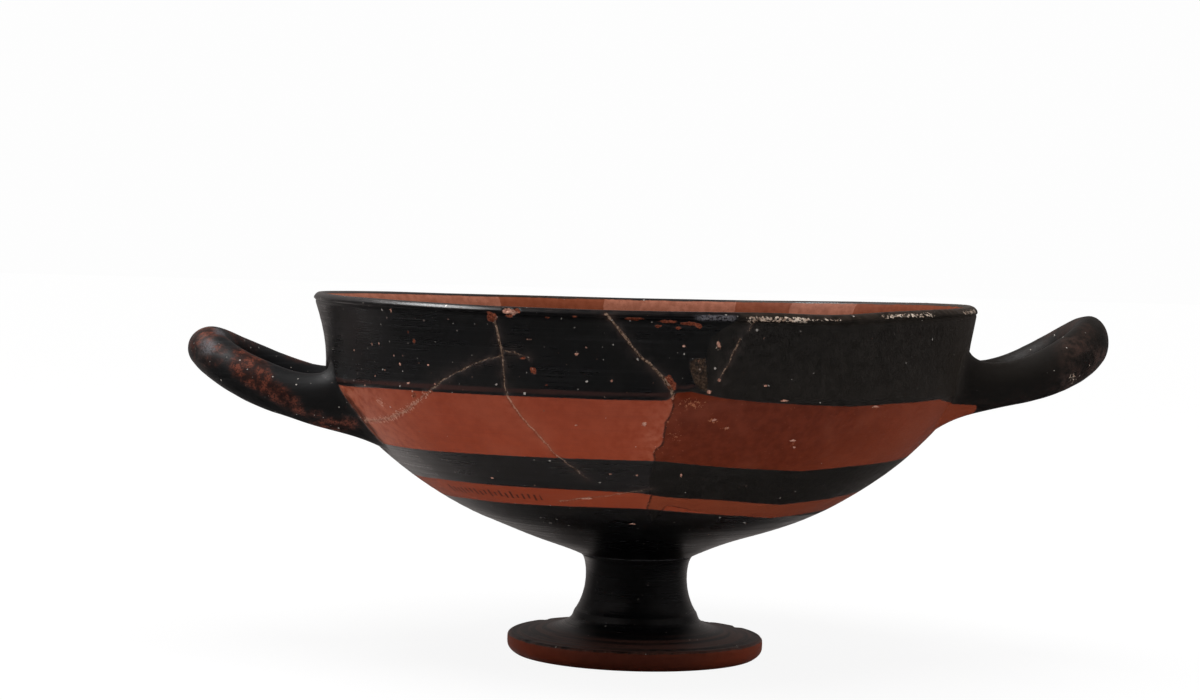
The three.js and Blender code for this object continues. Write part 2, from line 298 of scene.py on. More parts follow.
SEAM = [(741, 315), (736, 322), (728, 326), (720, 331), (711, 339), (708, 350), (707, 361), (702, 374), (698, 388), (688, 391), (677, 390), (673, 398.6), (674, 407.7), (669, 417), (665.3, 424), (664, 435), (662, 446), (654, 451.5), (655, 458), (652, 470), (649, 482), (652, 494), (648, 508), (652, 522)]
CRACKS = [
    # pixels, half width mm, depth mm
    ([(494, 319), (495.5, 325), (498, 338), (501, 350), (503, 365), (504, 383), (509, 400), (517, 411), (524, 420), (533, 430), (542, 439), (555, 454), (571, 466), (587, 478)], 0.24, 0.34),
    ([(501, 356), (491, 358), (473, 364), (456, 373), (443, 380), (434, 387), (426, 394)], 0.13, 0.24),
    ([(426, 394), (417, 402), (404, 412), (387, 420), (364, 421)], 0.07, 0.12),
    ([(506, 351), (515, 353), (529, 358)], 0.12, 0.16),
    ([(606, 312.5), (608, 317), (617, 327), (628, 340), (639, 356), (650, 364), (661, 376), (671, 389), (673, 398.6)], 0.30, 0.36),
    ([(740, 339), (735, 350), (730, 361), (724, 371), (719, 380)], 0.14, 0.2),
    ([(755, 320), (752, 325), (749, 330)], 0.13, 0.2),
    ([(560, 501), (575, 499.6), (600, 496.5), (625, 493.5), (652, 489)], 0.09, 0.1),
]
# pixel, half length along the rim mm, half height mm, turn deg, depth mm
RED_CHIPS = [
    (491, 316.5, 1.15, 1.2, 20, 0.55),
    (516.5, 310.5, 0.6, 0.7, 10, 0.5),
    (509, 315.5, 0.8, 0.4, 0, 0.3),
    (670, 383, 0.9, 1.6, 35, 0.4),
    (533.5, 370.5, 0.55, 0.8, 20, 0.25),
    (634, 318.5, 1.9, 0.35, 0, 0.22),
    (668, 321.5, 1.6, 0.3, 0, 0.18),
    (690, 323.5, 1.9, 0.35, 0, 0.2),
    (699, 326, 0.8, 0.5, 0, 0.15),
    (658, 326, 0.6, 0.35, 0, 0.12),
    (678, 328, 0.5, 0.3, 0, 0.12),
    (575, 316.5, 0.5, 0.22, 0, 0.14),
    (547, 317.5, 0.4, 0.22, 0, 0.14),
    (414, 341, 0.35, 0.5, 0, 0.14),
    (523, 358, 0.5, 0.3, 10, 0.14),
    (408, 332, 0.25, 0.25, 0, 0.1),
    (547, 385, 0.2, 0.2, 0, 0.1),
    (430, 391.5, 0.7, 0.45, 20, 0.15),
    (414, 395, 0.8, 0.55, 30, 0.15),
]
PALE_CHIPS = [
    (507, 310.5, 0.95, 0.85, -5, 0.55),
    (512.5, 312.5, 0.85, 0.7, 15, 0.5),
    (719, 345, 0.3, 0.95, 15, 0.3),
    (719, 380, 0.3, 0.3, 0, 0.15),
    (684, 346, 0.2, 0.2, 0, 0.1),
    (644, 424, 0.5, 0.45, 20, 0.2),
    (576, 425, 0.22, 0.25, 0, 0.1),
    # this pale dash low on the bowl is a shallow chip, painted bright as a highlight
    (632.5, 524.2, 1.0, 0.34, 0, 0.1),
    (586.5, 498.8, 1.55, 0.3, 9, 0.1),
    (576.5, 354, 0.42, 0.22, 25, 0.08),
    (681, 475.5, 0.2, 0.8, 0, 0.1),
    (492, 478, 0.5, 0.25, 0, 0.1),
    (535, 485.5, 0.22, 0.2, 0, 0.08),
    (611, 474, 0.4, 0.16, 0, 0.08),
    (637, 475, 0.22, 0.2, 0, 0.08),
    (612, 381, 0.18, 0.18, 0, 0.06),
    (529, 339.5, 0.4, 0.16, 0, 0.06),
    (587, 347.5, 0.2, 0.18, 0, 0.06),
    (448, 319, 0.22, 0.2, 0, 0.08),
    (354, 350, 0.25, 0.2, 0, 0.06),
    (372, 344, 0.2, 0.22, 0, 0.06),
    (403, 356, 0.2, 0.2, 0, 0.06),
    (400, 364, 0.22, 0.3, 0, 0.06),
    (428, 365, 0.22, 0.22, 0, 0.06),
    (385, 370, 0.25, 0.2, 0, 0.06),
    (375, 376, 0.2, 0.2, 0, 0.06),
    (419, 363, 0.22, 0.16, 0, 0.06),
    (394, 355, 0.16, 0.16, 0, 0.06),
    (435, 384, 0.2, 0.2, 0, 0.06),
    (365, 385, 0.25, 0.2, 0, 0.06),
    (408, 383, 0.4, 0.18, 0, 0.06),
    (391, 310, 0.2, 0.4, 0, 0.1),
    (379, 343, 0.18, 0.3, 0, 0.08),
    (412, 391, 0.28, 0.3, 0, 0.1),
    (875, 406.5, 0.9, 0.2, 0, 0.1),
    (784, 401, 0.8, 0.22, 0, 0.1),
    (766, 386, 0.3, 0.2, 0, 0.08),
    (727, 428, 0.5, 0.25, 10, 0.1),
    (714, 420, 0.5, 0.25, 20, 0.1),
    (793, 441, 0.5, 0.3, 0, 0.1),
    (794, 447.5, 0.5, 0.2, 0, 0.1),
    (709, 392, 0.5, 0.4, 20, 0.12),
]
PATCH = [(688, 362), (697, 358), (706.5, 359), (707, 374), (708, 392), (700, 389), (694, 384), (691, 372)]
# crumbling pale edge of the restored rim: from, to, half height mm, density
RIM_CHALK = [((741, 319), (814, 318.5), 1.0, 1.0), ((806, 317.5), (846, 316), 0.5, 0.8), ((852, 316), (872, 314.5), 0.35, 0.55), ((870, 314), (910, 311.5), 0.75, 0.9), ((935, 310), (968, 309), 0.7, 0.85)]
# flecked losses: place, half width mm, half height mm, density
# the fleck at (632, 524) is painted bright as a highlight
FLECKED = [(420, 399, 1.2, 1.0, 0.9), (412, 405.5, 1.2, 1.0, 0.9), (404, 411.5, 1.2, 1.0, 0.95), (396, 416, 1.2, 0.9, 0.9), (388, 419.5, 1.3, 0.9, 0.95), (378, 421, 1.4, 0.8, 0.9), (366, 420, 1.6, 1.0, 1.0), (632, 524, 0.8, 0.3, 1.0), (380, 402, 2.4, 2.2, 0.85), (367, 418, 1.3, 1.1, 0.95), (676, 436, 1.5, 3.2, 0.85), (692, 404, 4.2, 1.9, 0.88), (727, 428, 1.6, 0.9, 0.9), (713, 421, 1.6, 1.0, 0.88), (793, 444, 0.9, 1.3, 0.85), (669, 381, 0.7, 1.8, 0.75), (746, 405, 3.0, 0.35, 0.75), (790, 402, 5.0, 0.3, 0.6), (875, 407, 2.2, 0.4, 0.8), (655, 447, 1.6, 1.2, 0.6), (411, 396, 1.6, 0.9, 0.75), (430, 391, 1.2, 0.7, 0.8), (640, 340, 0.9, 1.4, 0.55), (718, 345, 0.7, 1.6, 0.7)]
GREY_RIM = [((693, 318), (739, 318.5), 0.75, 0.85)]
# tones of the left handle's near side, pixels: red brown patch, then spots
ROD_PATCH = np.array([(232, 346), (249, 353), (262, 359.5), (269.5, 369.5), (275.5, 381.5), (286.5, 390), (295, 398.5), (304, 408.5), (305, 415), (295, 413), (283, 407), (270.5, 400), (258.5, 391.5), (246, 384), (234, 375.5), (229, 364)], float)
# the grey spots on the left handle's tip are a painted highlight
ROD_SPOTS = [(206, 331, 10, 7, "brown", 0.95), (219.5, 349, 7, 6, "brown", 0.9), (196, 347, 3.5, 5, "fleck", 0.6), (208, 347, 7, 8, "grey", 0.5), (222, 331, 8, 4.5, "grey", 0.5), (212, 361, 12, 7, "brown", 0.35), (203, 340, 9, 9, "brown", 0.8), (335, 424, 26, 7, "brown", 0.95), (312, 414, 10, 4, "brown", 0.7)]
ROD_FLECKS = [(1073, 378, 6, 8, 0.95), (1090, 366, 2.5, 2.5, 0.8), (1000, 393.5, 7, 2, 0.6), (1096, 331, 5, 6, 0.45), (257, 348, 2.5, 2.5, 0.8), (299, 376, 3, 3, 0.6), (312, 375, 6, 5, 0.5), (331, 393, 7, 4, 0.7), (337, 404, 4, 4, 0.6)]
MARKS_FROM, MARKS_TO = (450, 487.6), (542, 497)

rng = np.random.default_rng(41)


def by_turn(pixels, rest, ease=0.5):
    """Height of a painted edge by turn: as seen in front, level at the back."""
    p = spots(pixels)
    order = np.argsort(p[:, 0])
    t, z = p[order, 0], p[order, 1]
    first, last = z[0], z[-1]

    def height(theta):
        theta = np.asarray(theta, float)
        theta = np.where(theta > 0.5 * math.pi, theta - TAU, theta)
        inside = np.interp(theta, t, z)
        before = rest + (first - rest) * np.exp(-np.clip(t[0] - theta, 0, None) / ease)
        after = rest + (last - rest) * np.exp(-np.clip(theta - t[-1], 0, None) / ease)
        return np.where(theta < t[0], before, np.where(theta > t[-1], after, inside))

    return height


wide_top, wide_low = by_turn(WIDE_TOP, 63.4), by_turn(WIDE_LOW, 49.4)
narrow_top, narrow_low = by_turn(NARROW_TOP, 41.3), by_turn(NARROW_LOW, 36.9)


def ground(theta, z):
    """Undisturbed place of a wall point, mm."""
    r = wall_radius(z)
    return placed(theta, r, z)


def as_line(pixels, step=0.5, jitter=0.12, seed=1):
    """A line on the wall through pixels of the photograph, as turn and length up the profile."""
    p = spots(pixels)
    xyz = ground(p[:, 0], p[:, 1])
    run = np.r_[0, np.cumsum(np.linalg.norm(np.diff(xyz, axis=0), axis=1))]
    n = max(2, int(round(run[-1] / step)) + 1)
    q = np.linspace(0, run[-1], n)
    theta, z = np.interp(q, run, p[:, 0]), np.interp(q, run, p[:, 1])
    r = wall_radius(z)
    a = jitter * (wave(np.c_[q * 0.55, q * 0, q * 0], seed) + 0.6 * wave(np.c_[q * 1.3, q * 0 + 3, q * 0], seed + 5))
    b = jitter * (wave(np.c_[q * 0.55, q * 0 + 9, q * 0], seed + 9) + 0.6 * wave(np.c_[q * 1.3, q * 0 + 5, q * 0], seed + 3))
    ends = np.minimum(1, np.minimum(q, run[-1] - q) / 1.0)
    return np.c_[theta + ends * a / r, s_of_z(z + ends * b)]


crack_lines = [as_line(px, 0.5, 0.13, 11 + 7 * i) for i, (px, _, _) in enumerate(CRACKS)]
seam_line = as_line(SEAM, 0.55, 0.16, 301)


def line_points(line, step=0.1):
    """Close points along a line on the wall, mm."""
    r, z = upper.at(line[:, 1])
    xyz = placed(line[:, 0], r, z)
    run = np.r_[0, np.cumsum(np.linalg.norm(np.diff(xyz, axis=0), axis=1))]
    q = np.arange(0, run[-1] + step, step)
    return np.c_[[np.interp(q, run, xyz[:, k]) for k in range(3)]].T, q, run[-1]


def tree_of(points):
    tree = kdtree.KDTree(len(points))
    for i, p in enumerate(points):
        tree.insert(p, i)
    tree.balance()
    return tree


def nearest(tree, points):
    found = [tree.find(p) for p in points]
    return np.array([f[2] for f in found]), np.array([f[1] for f in found])


# ------------------------------------------------------------------ unrolled wall
FLAT_R = 66.0  # one turn of the unrolled wall is this radius's circle


def flat(theta, s):
    return np.c_[np.asarray(theta) * FLAT_R, np.asarray(s)]


def root_ring(h, end):
    """Where a handle's end meets the wall, as turn and length up the profile."""
    a = TAU * np.arange(AROUND_ROD) / AROUND_ROD
    y = end * (h["spread"] + h["side"] * ROOT_HALF_W * np.cos(a))
    z = h["rootZ"] + h["lean"] * y + h["rootHalf"] * np.sin(a) - (1.0 if h["side"] < 0 else 2.2) * np.clip(-np.sin(a), 0, 1)
    r = wall_radius(z)
    theta = np.arctan2(y, h["side"] * np.sqrt(r * r - y * y))
    theta = np.where(theta > 0.5 * math.pi, theta - TAU, theta)
    return np.c_[theta, s_of_z(z)]


roots = [(h, end, root_ring(h, end)) for h in HANDLES for end in (-1, 1)]


def inside_loop(points, loop):
    x, y = points[:, 0], points[:, 1]
    inside = np.zeros(len(points), bool)
    j = len(loop) - 1
    for i in range(len(loop)):
        xi, yi, xj, yj = *loop[i], *loop[j]
        crosses = (yi > y) != (yj > y)
        with np.errstate(divide="ignore", invalid="ignore"):
            inside ^= crosses & (x < (xj - xi) * (y - yi) / (yj - yi) + xi)
        j = i
    return inside


class Scatter:
    """Points kept at least a given gap from those already taken."""

    def __init__(self, cell=0.5):
        self.cell, self.cells, self.points = cell, {}, []

    def near(self, x, y, gap):
        reach = int(gap / self.cell) + 1
        cx, cy = int(x // self.cell), int(y // self.cell)
        for i in range(cx - reach, cx + reach + 1):
            for j in range(cy - reach, cy + reach + 1):
                for k in self.cells.get((i, j), ()):
                    p = self.points[k]
                    if (p[0] - x) ** 2 + (p[1] - y) ** 2 < gap * gap:
                        return k
        return -1

    def add(self, x, y, gap=0.0):
        if gap > 0:
            k = self.near(x, y, gap)
            if k >= 0:
                return k
        self.points.append((x, y))
        k = len(self.points) - 1
        self.cells.setdefault((int(x // self.cell), int(y // self.cell)), []).append(k)
        return k


scatter = Scatter()
edges = []
LEFT_U, RIGHT_U = THETA0 * FLAT_R, (THETA0 + TAU) * FLAT_R

rows = np.unique(
    np.r_[
        np.linspace(0, S_CORNER - 3, int((S_CORNER - 3) / 0.98)),
        np.linspace(S_CORNER - 3, S_CORNER + 3, 11),
        np.linspace(S_CORNER + 3, S_LIP - 0.8, int((S_LIP - S_CORNER - 3.8) / 0.92)),
        np.linspace(S_LIP - 0.8, S_CREST + 2.4, 22),
        np.linspace(S_CREST + 2.4, S_END, int((S_END - S_CREST - 2.4) / 1.15)),
    ].round(5)
)

# borders: lower ring, upper ring and the joint at the back
lower_ring = [scatter.add(u, 0.0) for u in np.linspace(LEFT_U, RIGHT_U, AROUND_LOW + 1)]
upper_ring = [scatter.add(u, S_END) for u in np.linspace(LEFT_U, RIGHT_U, AROUND_IN + 1)]
left_side = [lower_ring[0]] + [scatter.add(LEFT_U, s) for s in rows[1:-1]] + [upper_ring[0]]
right_side = [lower_ring[-1]] + [scatter.add(RIGHT_U, s) for s in rows[1:-1]] + [upper_ring[-1]]
for chain in (lower_ring, upper_ring, left_side, right_side):
    edges += list(zip(chain[:-1], chain[1:]))

loops_flat = []
for h, end, ring in roots:
    f = flat(ring[:, 0], ring[:, 1])
    loops_flat.append(f)
    ids = [scatter.add(*p) for p in f]
    edges += list(zip(ids, ids[1:] + ids[:1]))


def flat_normals(f):
    t = np.gradient(f, axis=0)
    t /= np.linalg.norm(t, axis=1)[:, None]
    return np.c_[-t[:, 1], t[:, 0]]


fine = [(seam_line, (0.24, 0.6))] + [(line, (0.2, 0.45, 0.85)) for line in crack_lines]
for line, _ in fine:
    f = flat(line[:, 0], line[:, 1])
    ids = [scatter.add(x, y, 0.16) for x, y in f]
    edges += [(a, b) for a, b in zip(ids[:-1], ids[1:]) if a != b]
for line, offsets in fine:
    f = flat(line[:, 0], line[:, 1])
    n = flat_normals(f)
    for d in offsets:
        for sign in (-1, 1):
            for x, y in f + sign * d * n:
                if 0.4 < y < S_END - 0.4:
                    scatter.add(x, y, 0.19 if d < 0.3 else 0.3)


def chip_frame(chip):
    px, py, a, b, turn, depth = chip
    theta, z = spot(px, py)
    return theta, float(s_of_z(z)), a, b, math.radians(turn), depth


red_chips = [chip_frame(c) for c in RED_CHIPS]
pale_chips = [chip_frame(c) for c in PALE_CHIPS]
for theta, s, a, b, turn, depth in red_chips + pale_chips:
    u0 = theta * FLAT_R
    step = 0.22 if min(a, b) < 0.4 else 0.3
    for du in np.arange(-a - 0.7, a + 0.71, step):
        for ds in np.arange(-b - 0.6, b + 0.61, step):
            if (du / (a + 0.7)) ** 2 + (ds / (b + 0.6)) ** 2 < 1 and 0.4 < s + ds < S_END - 0.4:
                scatter.add(u0 + du, s + ds, 0.17)

front = (-math.pi * FLAT_R - 4, 4.0)
for k, s in enumerate(rows[1:-1], 1):
    r, _ = upper.at(s)
    gap_s = 0.5 * (rows[k + 1] - rows[k - 1])
    fine_step = max(0.62, min(1.0, gap_s * 1.3)) * FLAT_R / r
    coarse_step = max(0.95, 1.45 * min(1.0, gap_s * 1.1)) * FLAT_R / r
    spans = [(LEFT_U, front[0], coarse_step), (front[0], front[1], fine_step), (front[1], RIGHT_U, coarse_step)]
    for lo, hi, step in spans:
        n = max(1, int(round((hi - lo) / step)))
        for u in lo + (np.arange(n) + (0.5 if k % 2 else 0.0) + 1e-3) * (hi - lo) / n:
            if u - LEFT_U < 0.5 * step or RIGHT_U - u < 0.5 * step:
                continue
            scatter.add(u, s, 0.62 * min(gap_s, step))

points = np.array(scatter.points)
drop = np.zeros(len(points), bool)
for f in loops_flat:
    c = f.mean(0)
    drop |= inside_loop(points, c + (f - c) * 1.05)
keep_ids = set(i for e in edges for i in e)
drop[list(keep_ids)] = False
renumber = np.cumsum(~drop) - 1
points = points[~drop]
edges = [(int(renumber[a]), int(renumber[b])) for a, b in edges]
cdt_points, _, cdt_faces, _, _, _ = delaunay_2d_cdt([Vector(p) for p in points], edges, [], 0, 1e-6)
flat_pts = np.array([tuple(p) for p in cdt_points])
tris = np.array([tuple(f) for f in cdt_faces])
middle = flat_pts[tris].mean(1)
gone = np.zeros(len(tris), bool)
for f in loops_flat:
    gone |= inside_loop(middle, f)
tris = tris[~gone]
area2 = np.cross(flat_pts[tris[:, 1]] - flat_pts[tris[:, 0]], flat_pts[tris[:, 2]] - flat_pts[tris[:, 0]])
tris[area2 < 0] = tris[area2 < 0][:, ::-1]
tris = tris[np.abs(area2) > 1e-7]

wall_theta = flat_pts[:, 0] / FLAT_R
wall_s = flat_pts[:, 1]
wall_r, wall_z = upper.at(wall_s)
wall_n = upper.normal(wall_s)
wall_base = placed(wall_theta, wall_r, wall_z)
outside = wall_s <= S_CREST


# ------------------------------------------------------------------ damage fields on the wall
def chip_depth(theta, s, chips, seed):
    """How deep and how far inside (mm, negative inside) each point is in the nearest chip."""
    edge = np.full(len(theta), 9.0)
    depth = np.zeros(len(theta))
    for i, (t0, s0, a, b, turn, d) in enumerate(chips):
        du = (theta - t0) * FLAT_R
        ds = s - s0
        m = (np.abs(du) < a + 2) & (np.abs(ds) < b + 2)
        if not m.any():
            continue
        x = du[m] * math.cos(turn) + ds[m] * math.sin(turn)
        y = -du[m] * math.sin(turn) + ds[m] * math.cos(turn)
        rho = np.hypot(x / a, y / b)
        ang = np.arctan2(y / b, x / a)
        rough = 1 + 0.28 * wave(np.c_[np.cos(ang) * 1.6, np.sin(ang) * 1.6, ang * 0 + i * 3.1], seed + i)
        size = min(a, b)
        e = (rho / rough - 1) * (size + 0.35 * (max(a, b) - size) * np.abs(np.cos(ang)))
        edge[m] = np.minimum(edge[m], e)
        depth[m] = np.maximum(depth[m], d * smooth(0.05, -0.35 * size - 0.1, e))
    return edge, depth


def crack_field(base):
    """Distance to the nearest crack less its half width, and the groove's depth, mm."""
    pts, half, deep = [], [], []
    for i, line in enumerate(crack_lines):
        p, q, total = line_points(line)
        w, d = CRACKS[i][1], CRACKS[i][2]
        vary = 0.75 + 0.5 * wave(np.c_[q * 0.4, q * 0 + i, q * 0], 77)
        taper = np.clip((total - q) / 2.5, 0.25, 1) if i not in (4,) else np.ones(len(q))
        if i == 0:
            taper = taper * (1 - 0.5 * smooth(0.45, 0.8, q / total))
        pts.append(p)
        half.append(w * vary * taper)
        deep.append(d * vary * taper)
    pts, half, deep = np.vstack(pts), np.concatenate(half), np.concatenate(deep)
    dist, near = nearest(tree_of(pts), base)
    return dist - half[near], deep[near] * np.exp(-((dist / (1.15 * half[near] + 0.08)) ** 2))


# the restored part: from the seam to the right, round behind the right handle
back_edge = [(0.80, S_CREST + 14), (0.74, S_CREST), (0.70, S_CORNER + 9), (0.76, S_CORNER), (0.69, S_CORNER - 9), (0.6, S_CORNER - 20), (0.5, 12.0), (0.42, 5.0)]
seam_up = np.array([[seam_line[0, 0] - 0.004, S_CREST + 0.6], [seam_line[0, 0] - 0.02, S_CREST + 6], [seam_line[0, 0] + 0.01, S_CREST + 14]])
low_edge = np.array([[seam_line[-1, 0] + 0.05, 16.0], [seam_line[-1, 0] + 0.3, 11.0], [-0.6, 8.0], [0.0, 6.0]])
restored_loop = np.vstack([seam_up[::-1], seam_line, low_edge, np.array(back_edge)[::-1]])
loop_fine = []
for a, b in zip(restored_loop, np.roll(restored_loop, -1, 0)):
    n = max(2, int(np.hypot((b[0] - a[0]) * 70, b[1] - a[1]) / 0.4))
    loop_fine.append(a + (b - a) * np.linspace(0, 1, n, endpoint=False)[:, None])
loop_fine = np.vstack(loop_fine)
loop_tree = None


def restored_field(theta, s, base):
    """Signed distance, mm: positive on the restored part."""
    global loop_tree
    if loop_tree is None:
        r, z = upper.at(np.clip(loop_fine[:, 1], 0, S_END))
        loop_tree = tree_of(placed(loop_fine[:, 0], r, z))
    dist, _ = nearest(loop_tree, base)
    return np.where(inside_loop(np.c_[theta, s], restored_loop), dist, -dist)


def polygon_distance(p, poly):
    """Signed distance to a polygon in its plane, positive inside."""
    best = np.full(len(p), 1e9)
    for a, b in zip(poly, np.roll(poly, -1, 0)):
        ab = b - a
        t = np.clip(((p - a) @ ab) / (ab @ ab), 0, 1)
        best = np.minimum(best, np.linalg.norm(p - a - t[:, None] * ab, axis=1))
    return np.where(inside_loop(p, poly), best, -best)


# black around the handles' roots, in the plane across the handles (y, z)
LEFT_BLACK = [(-28, 90), (-26, 68), (-25.2, 62.2), (-26.6, 59.8), (-27.4, 57.6), (-26.6, 55.6), (-24.5, 53.6), (-19.5, 51.2), (-12, 49.2)]
RIGHT_BLACK = [(-36, 90), (-36, 64), (-35, 62.9), (-23.8, 61.7), (-14, 60.4)]
ROOT_BLACK = {
    side: np.array(half + [(-y, z) for y, z in half[::-1]], float) for side, half in ((-1, LEFT_BLACK), (1, RIGHT_BLACK))
}


def red_field(theta, z, xyz):
    """How far inside a bare red band a point of the outside is, mm."""
    wide = np.minimum(wide_top(theta) - z, z - wide_low(theta))
    narrow = np.minimum(narrow_top(theta) - z, z - narrow_low(theta))
    for side, poly in ROOT_BLACK.items():
        m = (xyz[:, 0] * side > 45) & (z > 46)
        if m.any():
            wide[m] = np.minimum(wide[m], -polygon_distance(np.c_[xyz[m, 1], z[m]], poly))
    return np.maximum(wide, narrow)


crack_d, crack_deep = crack_field(wall_base)
chip_red, chip_red_deep = chip_depth(wall_theta, wall_s, red_chips, 500)
chip_pale, chip_pale_deep = chip_depth(wall_theta, wall_s, pale_chips, 900)
rest_d = restored_field(wall_theta, wall_s, wall_base)
patch_sp = spots(PATCH)
patch_poly = flat(patch_sp[:, 0], s_of_z(patch_sp[:, 1]))
patch_d = polygon_distance(flat_pts, patch_poly)
crack_d[~outside] = np.maximum(crack_d[~outside], 0.5)
crack_deep[~outside] = 0

on_restored = smooth(-0.2, 0.6, rest_d) * outside
lump = waves(wall_base / 13.0, 21, 3)
fine_lump = waves(wall_base / 4.0, 25, 2)
turning = np.sin(wall_s * 2.3 + 0.6 * np.sin(wall_s * 0.41)) * 0.014
seam_dist = np.abs(rest_d)
near_front_seam = (wall_theta > -1.75) & (wall_theta < -0.9) & outside
push = (
    0.10 * waves(wall_base / 26.0, 3, 2)
    + turning * (1 - on_restored)
    + on_restored * (0.16 * lump + 0.05 * fine_lump + 0.02)
    - crack_deep
    - chip_red_deep
    - chip_pale_deep
    - np.where(near_front_seam, 0.16 * np.exp(-((seam_dist / 0.3) ** 2)) * (0.6 + 0.6 * wave(wall_base / 3.0, 8)), 0)
    - 0.12 * smooth(-0.3, 0.6, patch_d)
)
# the restored rim runs unevenly, with a shallow dip right of the seam
rim_share = smooth(S_LIP - 5, S_LIP + 1, wall_s) * smooth(S_CREST + 6, S_CREST + 1, wall_s)
dip = 0.55 * np.exp(-(((wall_theta + 1.02) / 0.16) ** 2)) + 0.12 * on_restored * wave(wall_base / 6.0, 91)
wall_xyz = placed(wall_theta, wall_r + push * wall_n[:, 0], wall_z + push * wall_n[:, 1])
wall_xyz[:, 2] -= rim_share * dip
crumble = rim_share * on_restored * (0.5 + 0.5 * wave(wall_base / 1.3, 95)) * smooth(-1.45, -1.1, wall_theta)
wall_xyz[:, 2] -= 0.28 * crumble

# ------------------------------------------------------------------ mesh in the making
NAMES = ("red", "restored", "crack", "chip_red", "chip_pale", "patch", "stripe", "across", "height", "brown", "worn", "dusty", "inner", "rod", "fleck", "grey")
verts, faces, face_uv = [], [], []
attrs = {k: [] for k in NAMES}
count = 0


def put(xyz, **given):
    """Adds points (mm) with their surface fields and returns their numbers."""
    global count
    n = len(xyz)
    verts.append(np.asarray(xyz, float))
    far = {"red": -9.0, "restored": -20.0, "crack": 9.0, "chip_red": 9.0, "chip_pale": 9.0, "patch": -9.0, "stripe": -9.0}
    for k in NAMES:
        attrs[k].append(np.broadcast_to(np.asarray(given.get(k, far.get(k, 0.0)), float), (n,)).copy())
    count += n
    return np.arange(count - n, count)


# the wall: one number for both sides of the joint at the back
same = np.arange(len(flat_pts))
left = np.where(np.abs(flat_pts[:, 0] - LEFT_U) < 1e-4)[0]
right = np.where(np.abs(flat_pts[:, 0] - RIGHT_U) < 1e-4)[0]
left = left[np.argsort(flat_pts[left, 1])]
right = right[np.argsort(flat_pts[right, 1])]
same[right] = left

wall_red = np.where(outside, red_field(wall_theta, wall_z, wall_base), -9.0)
from_crest = wall_s - S_CREST
reserved_low = 6.2 + 0.25 * wave(wall_base / 9.0, 17)
inner_band = np.minimum(from_crest - 1.35 - 0.12 * wave(wall_base / 3.0, 19), reserved_low - from_crest)
wall_red = np.where(outside, wall_red, inner_band)
stripe = np.where(
    outside,
    0.46 + 0.12 * wave(wall_base / 5.0, 31) - np.abs(wall_z - wide_top(wall_theta) - 1.15),
    -9.0,
)
stripe = np.minimum(stripe, -rest_d - 0.3)
for side, poly in ROOT_BLACK.items():
    m = (wall_base[:, 0] * side > 45) & (wall_z > 46)
    stripe[m] = np.minimum(stripe[m], -polygon_distance(np.c_[wall_base[m, 1], wall_z[m]], poly))

# two more old fills at the back of the lip show inside and out
fills = np.full(len(wall_s), -20.0)
for lo, hi in ((1.695, 2.085), (1.02, 1.23)):
    t = np.where(wall_theta < -0.5 * math.pi, wall_theta + TAU, wall_theta)
    edge = np.minimum(t - lo, hi - t) * 75 + 0.5 * wave(wall_base / 2.5, 61)
    edge = np.minimum(edge, wall_s - S_CORNER - 4 - 3 * wave(wall_base / 8.0, 63))
    fills = np.maximum(fills, edge)
rest_all = np.maximum(rest_d, fills)

# abrasion: paler by the seam, along the rim and on the corner of the lip
worn = np.clip(
    0.4 * np.exp(-np.clip(-rest_d, 0, None) / 3.2) * (rest_d < 0) * (wall_theta > -1.8) * (wall_theta < -0.9) * smooth(-0.4, 0.2, wall_red)
    + 0.15 * np.exp(-np.abs(wall_s - S_CREST) / 0.9)
    + 0.25 * np.exp(-((np.clip(crack_d, 0, None)) / 0.8)),
    0,
    1,
)
# painted sheen: the red on the left flank of the bowl is paled as a highlight
worn = np.clip(worn + 0.8 * smooth(-2.25, -2.75, wall_theta) * smooth(-3.3, -3.0, wall_theta) * smooth(-0.3, 0.3, wall_red) * outside, 0, 1)
fleck = np.zeros(len(wall_s))
grey = np.zeros(len(wall_s))


def strip(field, a, b, half, density):
    """A density along a strip between two pixels of the photograph."""
    (t0, z0), (t1, z1) = spot(*a), spot(*b)
    share = np.clip((wall_theta - t0) / (t1 - t0), 0, 1)
    middle_s = s_of_z(z0) + (s_of_z(z1) - s_of_z(z0)) * share
    ends = smooth(0, 1.6, (wall_theta - t0) * 75) * smooth(0, 1.6, (t1 - wall_theta) * 75)
    return np.maximum(field, density * ends * smooth(1.35, 0.45, np.abs(wall_s - middle_s) / half))


for a, b, half, density in RIM_CHALK:
    fleck = strip(fleck, a, b, half, density)
for a, b, half, density in GREY_RIM:
    grey = strip(grey, a, b, half, density)
for px, py, half_u, half_v, share in ((380, 402, 2.2, 2.4, 0.9), (372, 412, 1.6, 1.6, 0.6), (655, 440, 2.5, 3.0, 0.5)):
    t0, z0 = spot(px, py)
    rho = np.hypot((wall_theta - t0) * wall_r / half_u, (wall_s - s_of_z(z0)) / half_v)
    worn = np.maximum(worn, share * smooth(1.2, 0.2, rho + 0.35 * wave(wall_base / 1.1, 83)))
for px, py, half_u, half_v, density in FLECKED:
    t0, z0 = spot(px, py)
    rho = np.hypot((wall_theta - t0) * wall_r / half_u, (wall_s - s_of_z(z0)) / half_v)
    fleck = np.maximum(fleck, density * smooth(1.4, 0.3, rho))
crumbled, _, _ = line_points(crack_lines[2])
crumbled_far, _ = nearest(tree_of(crumbled), wall_base)
fleck = np.maximum(fleck, 0.96 * smooth(2.0, 0.3, crumbled_far + 0.3 * wave(wall_base / 1.5, 87)) * outside)
fleck = np.maximum(fleck, 0.62 * smooth(0.75, 0.1, crack_d) * outside)
in_seam = (rest_d > -0.3) & near_front_seam
fleck = np.maximum(fleck, np.where(in_seam, 0.62 * smooth(1.5, 0.1, rest_d) * smooth(-0.3, 0.5, wall_red), 0))
edge_left = np.full(len(wall_s), -9.0)
m = (wall_base[:, 0] < -45) & (wall_z > 46) & outside
